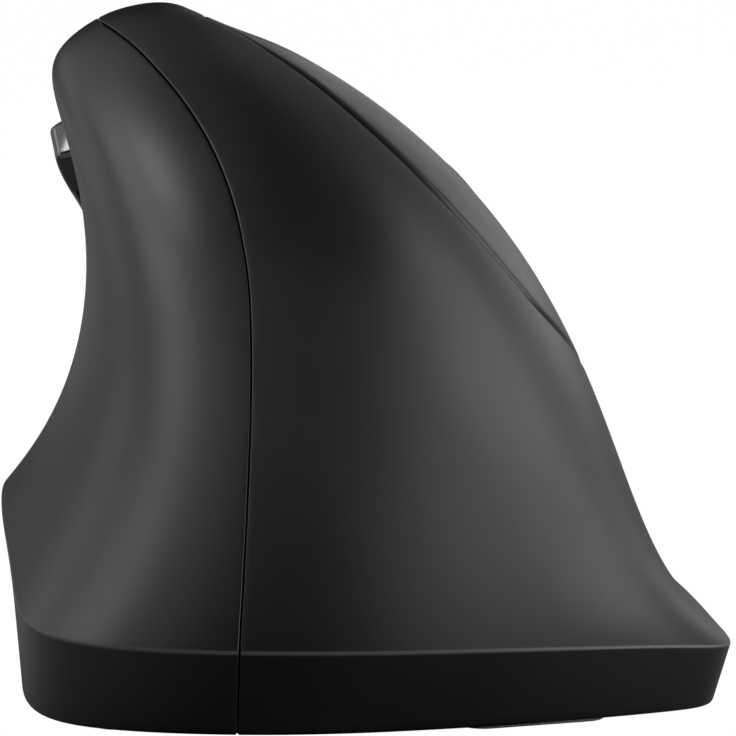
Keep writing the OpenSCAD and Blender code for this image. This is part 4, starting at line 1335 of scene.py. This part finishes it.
@dataclass(frozen=True)
class ScrollWheel:
    """Rubber tyre of the scroll wheel, with ribs across it."""

    face: FacePlane
    radius: float = 11.0
    width: float = 7.0
    thickness: float = 2.6
    rib_count: int = 36
    rib_radius: float = 0.42
    rib_sink: float = 0.1
    rib_short: float = 1.0
    round_off: float = 1.1
    segments: int = 96

    def body(self) -> tuple[Array, list]:
        """Points and faces of the tyre without its ribs, round the Z axis."""
        outer = self.radius - self.rib_radius + self.rib_sink
        half, inner, r = self.width / 2, self.radius - self.thickness, self.round_off
        turns = np.radians(np.linspace(0, 90, 6))
        high = [(outer - r + r * math.cos(a), half - r + r * math.sin(a)) for a in turns]
        line = [(inner, -half)] + [(x, -z) for x, z in reversed(high)] + high + [(inner, half)]
        steps = self.segments
        angle = np.arange(steps) * 2 * np.pi / steps
        points = np.array([[x * math.cos(a), x * math.sin(a), z] for x, z in line for a in angle])
        faces = []
        for row in range(len(line)):
            after = (row + 1) % len(line)
            for k in range(steps):
                j = (k + 1) % steps
                faces.append([row * steps + k, row * steps + j, after * steps + j, after * steps + k])
        return points, faces

    def build(self) -> None:
        """Build the tyre where the frame's tyre stands and dress it."""
        low, high = (Vector(corner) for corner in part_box("wheel_tyre"))
        base = mesh_object("tyre_body", *self.body())
        values = {
            "Count": self.rib_count,
            "Spread": (self.radius - self.rib_radius) * MM,
            "Length": (self.width - self.rib_short) * MM,
            "Radius": self.rib_radius * MM,
            "Direction": (0.0, 0.0, 1.0),
            "Material": RUBBER.material(),
        }
        tyre = bake_tree("scroll_tyre", base, rib_tree("tyre_ribs", on_circle=True), values)
        turn = Matrix.Rotation(math.radians(self.face.turn + 90), 4, "Y")
        tyre.data.transform(Matrix.Translation((low + high) / 2) @ turn)
        settle(tyre, RUBBER, Body.WHEEL, ["wheel_tyre"])


@dataclass(frozen=True)
class Underside:
    """Glide feet and the battery door, as they look from below."""

    feet: tuple = (
        ((-14, -52.2), 18, -8), ((16.5, -49.2), 14, 20), ((-6, 51), 16, 0),
        ((20, 17), 10, 102), ((-26, 0), 14, 90),
    )
    foot_width: float = 4.6
    foot_height: float = 0.8
    foot_round: float = 0.3
    door_round: float = 0.35
    door_corner: float = 1.2
    grip_count: int = 7
    grip_step: float = 1.6
    grip_length: float = 7.0
    grip_radius: float = 0.35
    grip_back: float = 6.5
    pin_reach: float = 1.4
    pin_radius: float = 0.8
    pin_back: float = 1.3
    pin_height: float = 1.1

    @staticmethod
    def edge_rows(radius: float) -> list[tuple[float, float]]:
        """Steps of a rounded lower edge: how far each is drawn in and how high it lies."""
        turns = np.radians((0, 22.5, 45, 67.5, 90))
        return [(radius * (1 - math.sin(t)), radius * (1 - math.cos(t))) for t in turns]

    def bar_loop(self, half_width: float, half_length: float) -> Array:
        """Outline of a bar with round ends, along x."""
        out = []
        for sign in (1, -1):
            for a in np.linspace(-math.pi / 2, math.pi / 2, 15):
                reach = half_length - half_width + half_width * math.cos(a)
                out.append((sign * reach, sign * half_width * math.sin(a)))
        return np.array(out)

    def foot(self, place: Sequence[float], length: float, turn: float) -> tuple[Array, list]:
        """Points and faces of one foot with a rounded lower edge."""
        a = math.radians(turn)
        spin = np.array([[math.cos(a), math.sin(a)], [-math.sin(a), math.cos(a)]])
        loops = []
        for shrink, height in self.edge_rows(self.foot_round) + [(0.0, self.foot_height)]:
            flat = self.bar_loop(self.foot_width / 2 - shrink, length / 2 - shrink) @ spin + place
            loops.append(np.column_stack([flat, np.full(len(flat), height)]))
        top = np.array([[*place, self.foot_height]], float)
        return stack_loops(loops, top, np.array([[*place, 0.0]]))

    def door_loop(self, low: Vector, high: Vector, shrink: float) -> Array:
        """Outline of the battery door with rounded corners."""
        out = []
        r = self.door_corner - shrink
        for k, (x, y) in enumerate(((high.x, high.y), (low.x, high.y), (low.x, low.y), (high.x, low.y))):
            sx, sy = (1 if x == high.x else -1), (1 if y == high.y else -1)
            centre = (x - sx * self.door_corner, y - sy * self.door_corner)
            for a in np.radians(np.linspace(90 * k, 90 * k + 90, 7)):
                out.append((centre[0] + r * math.cos(a), centre[1] + r * math.sin(a)))
        return np.array(out)

    def door(self) -> bpy.types.Object:
        """The battery door with a rounded edge, its hinge pin and a ribbed grip."""
        low, high = (Vector(corner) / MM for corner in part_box("battery_door"))
        left = Vector((low.x + self.pin_reach, low.y, low.z))
        right = Vector((high.x - self.pin_reach, high.y, high.z))
        rows = [(shrink, low.z + rise) for shrink, rise in self.edge_rows(self.door_round)]
        loops = []
        for shrink, height in rows + [(0.0, high.z)]:
            flat = self.door_loop(left, right, shrink)
            loops.append(np.column_stack([flat, np.full(len(flat), height)]))
        middle = (left + right) / 2
        ends = [np.array([[middle.x, middle.y, z]]) for z in (high.z, low.z)]
        plate = mesh_object("door_plate", *stack_loops(loops, *ends))
        tree = rib_tree("door_ribs", on_circle=False)
        pin_values = {
            "Count": 1,
            "Spread": 0.0,
            "Length": (high.x - low.x) * MM,
            "Radius": self.pin_radius * MM,
            "Direction": (1.0, 0.0, 0.0),
            "Start": Vector((middle.x, low.y + self.pin_back, low.z + self.pin_height)) * MM,
            "Material": BASE.material(),
        }
        with_pin = bake_tree("door_with_pin", plate, tree, pin_values)
        reach = (self.grip_count - 1) * self.grip_step / 2
        grip_values = {
            "Count": self.grip_count,
            "Spread": self.grip_step * MM,
            "Length": self.grip_length * MM,
            "Radius": self.grip_radius * MM,
            "Direction": (0.0, 1.0, 0.0),
            "Start": Vector((middle.x - reach, high.y - self.grip_back, low.z)) * MM,
            "Material": BASE.material(),
        }
        return bake_tree("battery_door_cover", with_pin, tree, grip_values)

    def build(self) -> None:
        """Build and dress the feet and the door."""
        points, faces, count = [], [], 0
        for place, length, turn in self.feet:
            made, sides = self.foot(place, length, turn)
            points.append(made)
            faces += [[count + k for k in side] for side in sides]
            count += len(made)
        feet = mesh_object("glide_foot_set", np.concatenate(points), faces)
        settle(feet, FOOT, Body.CHASSIS, ["glide_feet"])
        settle(self.door(), BASE, Body.DOOR, ["battery_door"])


@dataclass(frozen=True)
class Softbox:
    """One soft light: where it hangs round the object, its size and its power."""

    name: str
    azimuth: float
    elevation: float
    width: float
    height: float
    watts: float
    distance: float = 600.0

    def hang(self, target: Sequence[float]) -> None:
        """Hang the light so that it faces the object.

        Args:
            target: Place in millimetres that it faces.
        """
        light = bpy.data.lights.new(self.name, "AREA")
        light.shape = "RECTANGLE"
        light.size, light.size_y = self.width * MM, self.height * MM
        light.energy = self.watts
        lamp = bpy.data.objects.new(self.name, light)
        turn, rise = math.radians(self.azimuth), math.radians(self.elevation)
        out = Vector((math.sin(turn) * math.cos(rise), -math.cos(turn) * math.cos(rise), math.sin(rise)))
        lamp.location = (Vector(target) + out * self.distance) * MM
        lamp.rotation_euler = (-out).to_track_quat("-Z", "Y").to_euler()
        lamp.visible_camera = False
        bpy.context.scene.collection.objects.link(lamp)


@dataclass(frozen=True)
class Studio:
    """Camera, floor with a pale card on each side, white room and soft lights, in millimetres."""

    target: tuple[float, float, float] = (1.75, 0.4, 26.4)
    elevation: float = 6.5
    distance: float = 420.0
    focal: float = 202.6
    sensor: float = 36.0
    floor_half: float = 4000.0
    floor_shade: float = 0.03
    card_glow: float = 0.25
    card_start: float = 15.0
    card_end: float = 50.0
    room: float = 0.004
    lights: tuple[Softbox, ...] = (
        Softbox("left_side", -80, 40, 400, 360, 0.78),
        Softbox("left_high", -100, 55, 400, 400, 0.45),
        Softbox("left_top", -89, 67, 110, 110, 0.36),
        Softbox("left_back_low", -120, 15, 320, 150, 0.044, 280),
        Softbox("left_back_near", -120, 45, 100, 100, 0.014, 140),
        Softbox("left_low_near", -100, 16, 100, 60, 0.01, 140),
        Softbox("left_front_near", -40, 30, 100, 100, 0.023, 140),
        Softbox("top_near", 0, 45, 100, 100, 0.007, 140),
        Softbox("right_front", 60, 10, 400, 160, 1.4),
        Softbox("right_front_low_near", 40, 16, 100, 60, 0.019, 140),
        Softbox("right_front_near", 60, 30, 100, 100, 0.031, 140),
        Softbox("right_near", 100, 30, 100, 100, 0.053, 140),
        Softbox("right_back_low", 160, 10, 400, 160, 0.15),
        Softbox("right_back_high", 160, 40, 400, 360, 0.08),
    )

    def build(self) -> None:
        """Set up the whole studio."""
        scene = bpy.context.scene
        scene.view_settings.view_transform = "Standard"
        self.camera(scene)
        self.floor()
        self.world(scene)
        for light in self.lights:
            light.hang(self.target)

    def camera(self, scene: bpy.types.Scene) -> None:
        """Stand the camera behind the wrist end, a little above it."""
        lens = bpy.data.cameras.new("camera")
        lens.lens = self.focal
        lens.sensor_width = self.sensor
        lens.clip_start, lens.clip_end = 0.01, 50.0
        eye = bpy.data.objects.new("camera", lens)
        tilt = math.radians(self.elevation)
        back = Vector((0, -math.cos(tilt), math.sin(tilt)))
        eye.location = (Vector(self.target) + back * self.distance) * MM
        eye.rotation_euler = (-back).to_track_quat("-Z", "Y").to_euler()
        scene.collection.objects.link(eye)
        scene.camera = eye

    @staticmethod
    def beside(tree: bpy.types.NodeTree, start: float, end: float) -> bpy.types.NodeSocket:
        """Make a value that rises from 0 to 1 to the left and right of the object.

        Args:
            tree: Tree of the floor.
            start: Distance along X in millimetres where it starts to rise.
            end: Distance where it reaches 1.

        Returns:
            The value's socket.
        """
        place = tree.nodes.new("ShaderNodeTexCoord")
        split = tree.nodes.new("ShaderNodeSeparateXYZ")
        rise = tree.nodes.new("ShaderNodeMapRange")
        rise.inputs["From Min"].default_value = start * MM
        rise.inputs["From Max"].default_value = end * MM
        wire(tree, (place, "Object", split, "Vector"))
        tree.links.new(math_node(tree, "ABSOLUTE", split.outputs["X"]), rise.inputs["Value"])
        return rise.outputs["Result"]

    def floor(self) -> None:
        """Lay a pale floor that is white to the camera outside the object's shadow."""
        h = self.floor_half
        corners = np.array([[-h, -h, 0], [h, -h, 0], [h, h, 0], [-h, h, 0]])
        floor = mesh_object("floor", corners, [[0, 1, 2, 3]])
        made = bpy.data.materials.new("pale_floor")
        made.use_nodes = True
        tree = made.node_tree
        shader = tree.nodes["Principled BSDF"]
        shader.inputs["Base Color"].default_value = (self.floor_shade, self.floor_shade, self.floor_shade, 1)
        shader.inputs["Roughness"].default_value = 0.9
        shader.inputs["Emission Color"].default_value = (1, 1, 1, 1)
        path = tree.nodes.new("ShaderNodeLightPath").outputs
        beside = self.beside(tree, self.card_start, self.card_end)
        mirrored = math_node(tree, "MULTIPLY", path["Is Glossy Ray"], beside)
        mirrored = math_node(tree, "MULTIPLY", mirrored, self.card_glow)
        seen = math_node(tree, "MAXIMUM", path["Is Camera Ray"], path["Is Transmission Ray"])
        tree.links.new(math_node(tree, "MAXIMUM", seen, mirrored), shader.inputs["Emission Strength"])
        floor.data.materials.append(made)

    def world(self, scene: bpy.types.Scene) -> None:
        """White to the camera and through glass, and a dark room to everything else."""
        world = bpy.data.worlds.new("studio")
        world.use_nodes = True
        tree = world.node_tree
        shade = tree.nodes["Background"]
        shade.inputs["Color"].default_value = (1, 1, 1, 1)
        path = tree.nodes.new("ShaderNodeLightPath").outputs
        seen = math_node(tree, "MAXIMUM", path["Is Camera Ray"], path["Is Transmission Ray"])
        tree.links.new(math_node(tree, "MAXIMUM", seen, self.room), shade.inputs["Strength"])
        scene.world = world


@dataclass(frozen=True)
class Housing:
    """The moulded shells, click buttons and centre strip."""

    seams: Seams
    cutter: PanelCutter
    keys: ThumbKeys
    controls: FingerControls
    hole_rim: float = 0.18

    def panel(self, name: str, inside: Field, rim: Field) -> bpy.types.Object:
        """Cut one panel and make it an object."""
        cut = self.cutter.cut(inside, rim)
        made = mesh_object(name, cut.points, cut.faces)
        # Store each vertex's share of the painted highlight.
        made.data.attributes.new(PAINTED_HIGHLIGHT, "FLOAT", "POINT").data.foreach_set("value", cut.painted_highlight)
        return made

    def thumb_field(self, q: Array) -> Array:
        """Field of the thumb panel with the opening for its keys."""
        whole = -self.seams.thumb_side(q) - self.seams.thumb_keep()
        return np.minimum(whole, self.keys.opening(q) - self.hole_rim)

    def thumb_rims(self, q: Array) -> Array:
        """Rim of the thumb panel, at its seam and round the keys."""
        return np.where(self.keys.opening(q) < 2 * self.hole_rim, self.hole_rim, self.seams.panel_rim)

    def strip_rims(self, q: Array) -> Array:
        """Rim of the centre strip, at its edge and round its holes."""
        holes = self.controls.holes(self.seams.face.to_local(q))
        return np.where(holes < 2 * self.hole_rim, self.hole_rim, self.seams.edge_rim(q))

    def build(self) -> None:
        """Build and dress every panel."""
        seams = self.seams
        palm = self.panel("palm_shell_skin", seams.palm, seams.palm_rims)
        settle(palm, SHELL, Body.CHASSIS, ["palm_shell"])
        thumb = self.panel("thumb_panel_skin", self.thumb_field, self.thumb_rims)
        settle(thumb, SHELL, Body.CHASSIS, ["thumb_panel"])
        left = self.panel("left_button_skin", seams.click(-1), seams.edge_rim)
        settle(left, BUTTON, Body.LEFT_CLICK, ["left_button"])
        right = self.panel("right_button_skin", seams.click(1), seams.edge_rim)
        settle(right, BUTTON, Body.RIGHT_CLICK, ["right_button"])
        inside = seams.strip(self.controls.holes, self.hole_rim)
        strip = self.panel("centre_strip_skin", inside, self.strip_rims)
        settle(strip, BUTTON, Body.CHASSIS, ["centre_strip"])
        for rear, body, node in ((True, Body.BACK, "back_button"), (False, Body.FORWARD, "forward_button")):
            key = mesh_object(node + "_key", *self.keys.build(rear))
            settle(key, KEY, body, [node])
        dpi = mesh_object("dpi_button_key", *self.controls.dpi_button())
        settle(dpi, KEY, Body.DPI, ["dpi_button"])


def dress_nodes(nodes: dict[str, bpy.types.Object]) -> None:
    """Give every node of the frame that stays its own finish."""
    for name, finish in NODE_FINISHES.items():
        nodes[name].data.materials.clear()
        nodes[name].data.materials.append(finish.material())


def main() -> None:
    """Build the whole mouse and its studio round the frame."""
    logging.basicConfig(level=logging.INFO, format="%(message)s")
    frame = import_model()
    Studio().build()
    skin = Skin()
    face = FacePlane(skin, u=0.965, w=0.669, turn=45.0)
    thumb = FacePlane(skin, u=2.905, w=0.425, turn=-106.0)
    seams = Seams(skin, face)
    Housing(seams, PanelCutter(skin), ThumbKeys(thumb), FingerControls(face)).build()
    ScrollWheel(face).build()
    Underside().build()
    dress_nodes(frame["nodes"])


if __name__ == "__main__":
    main()
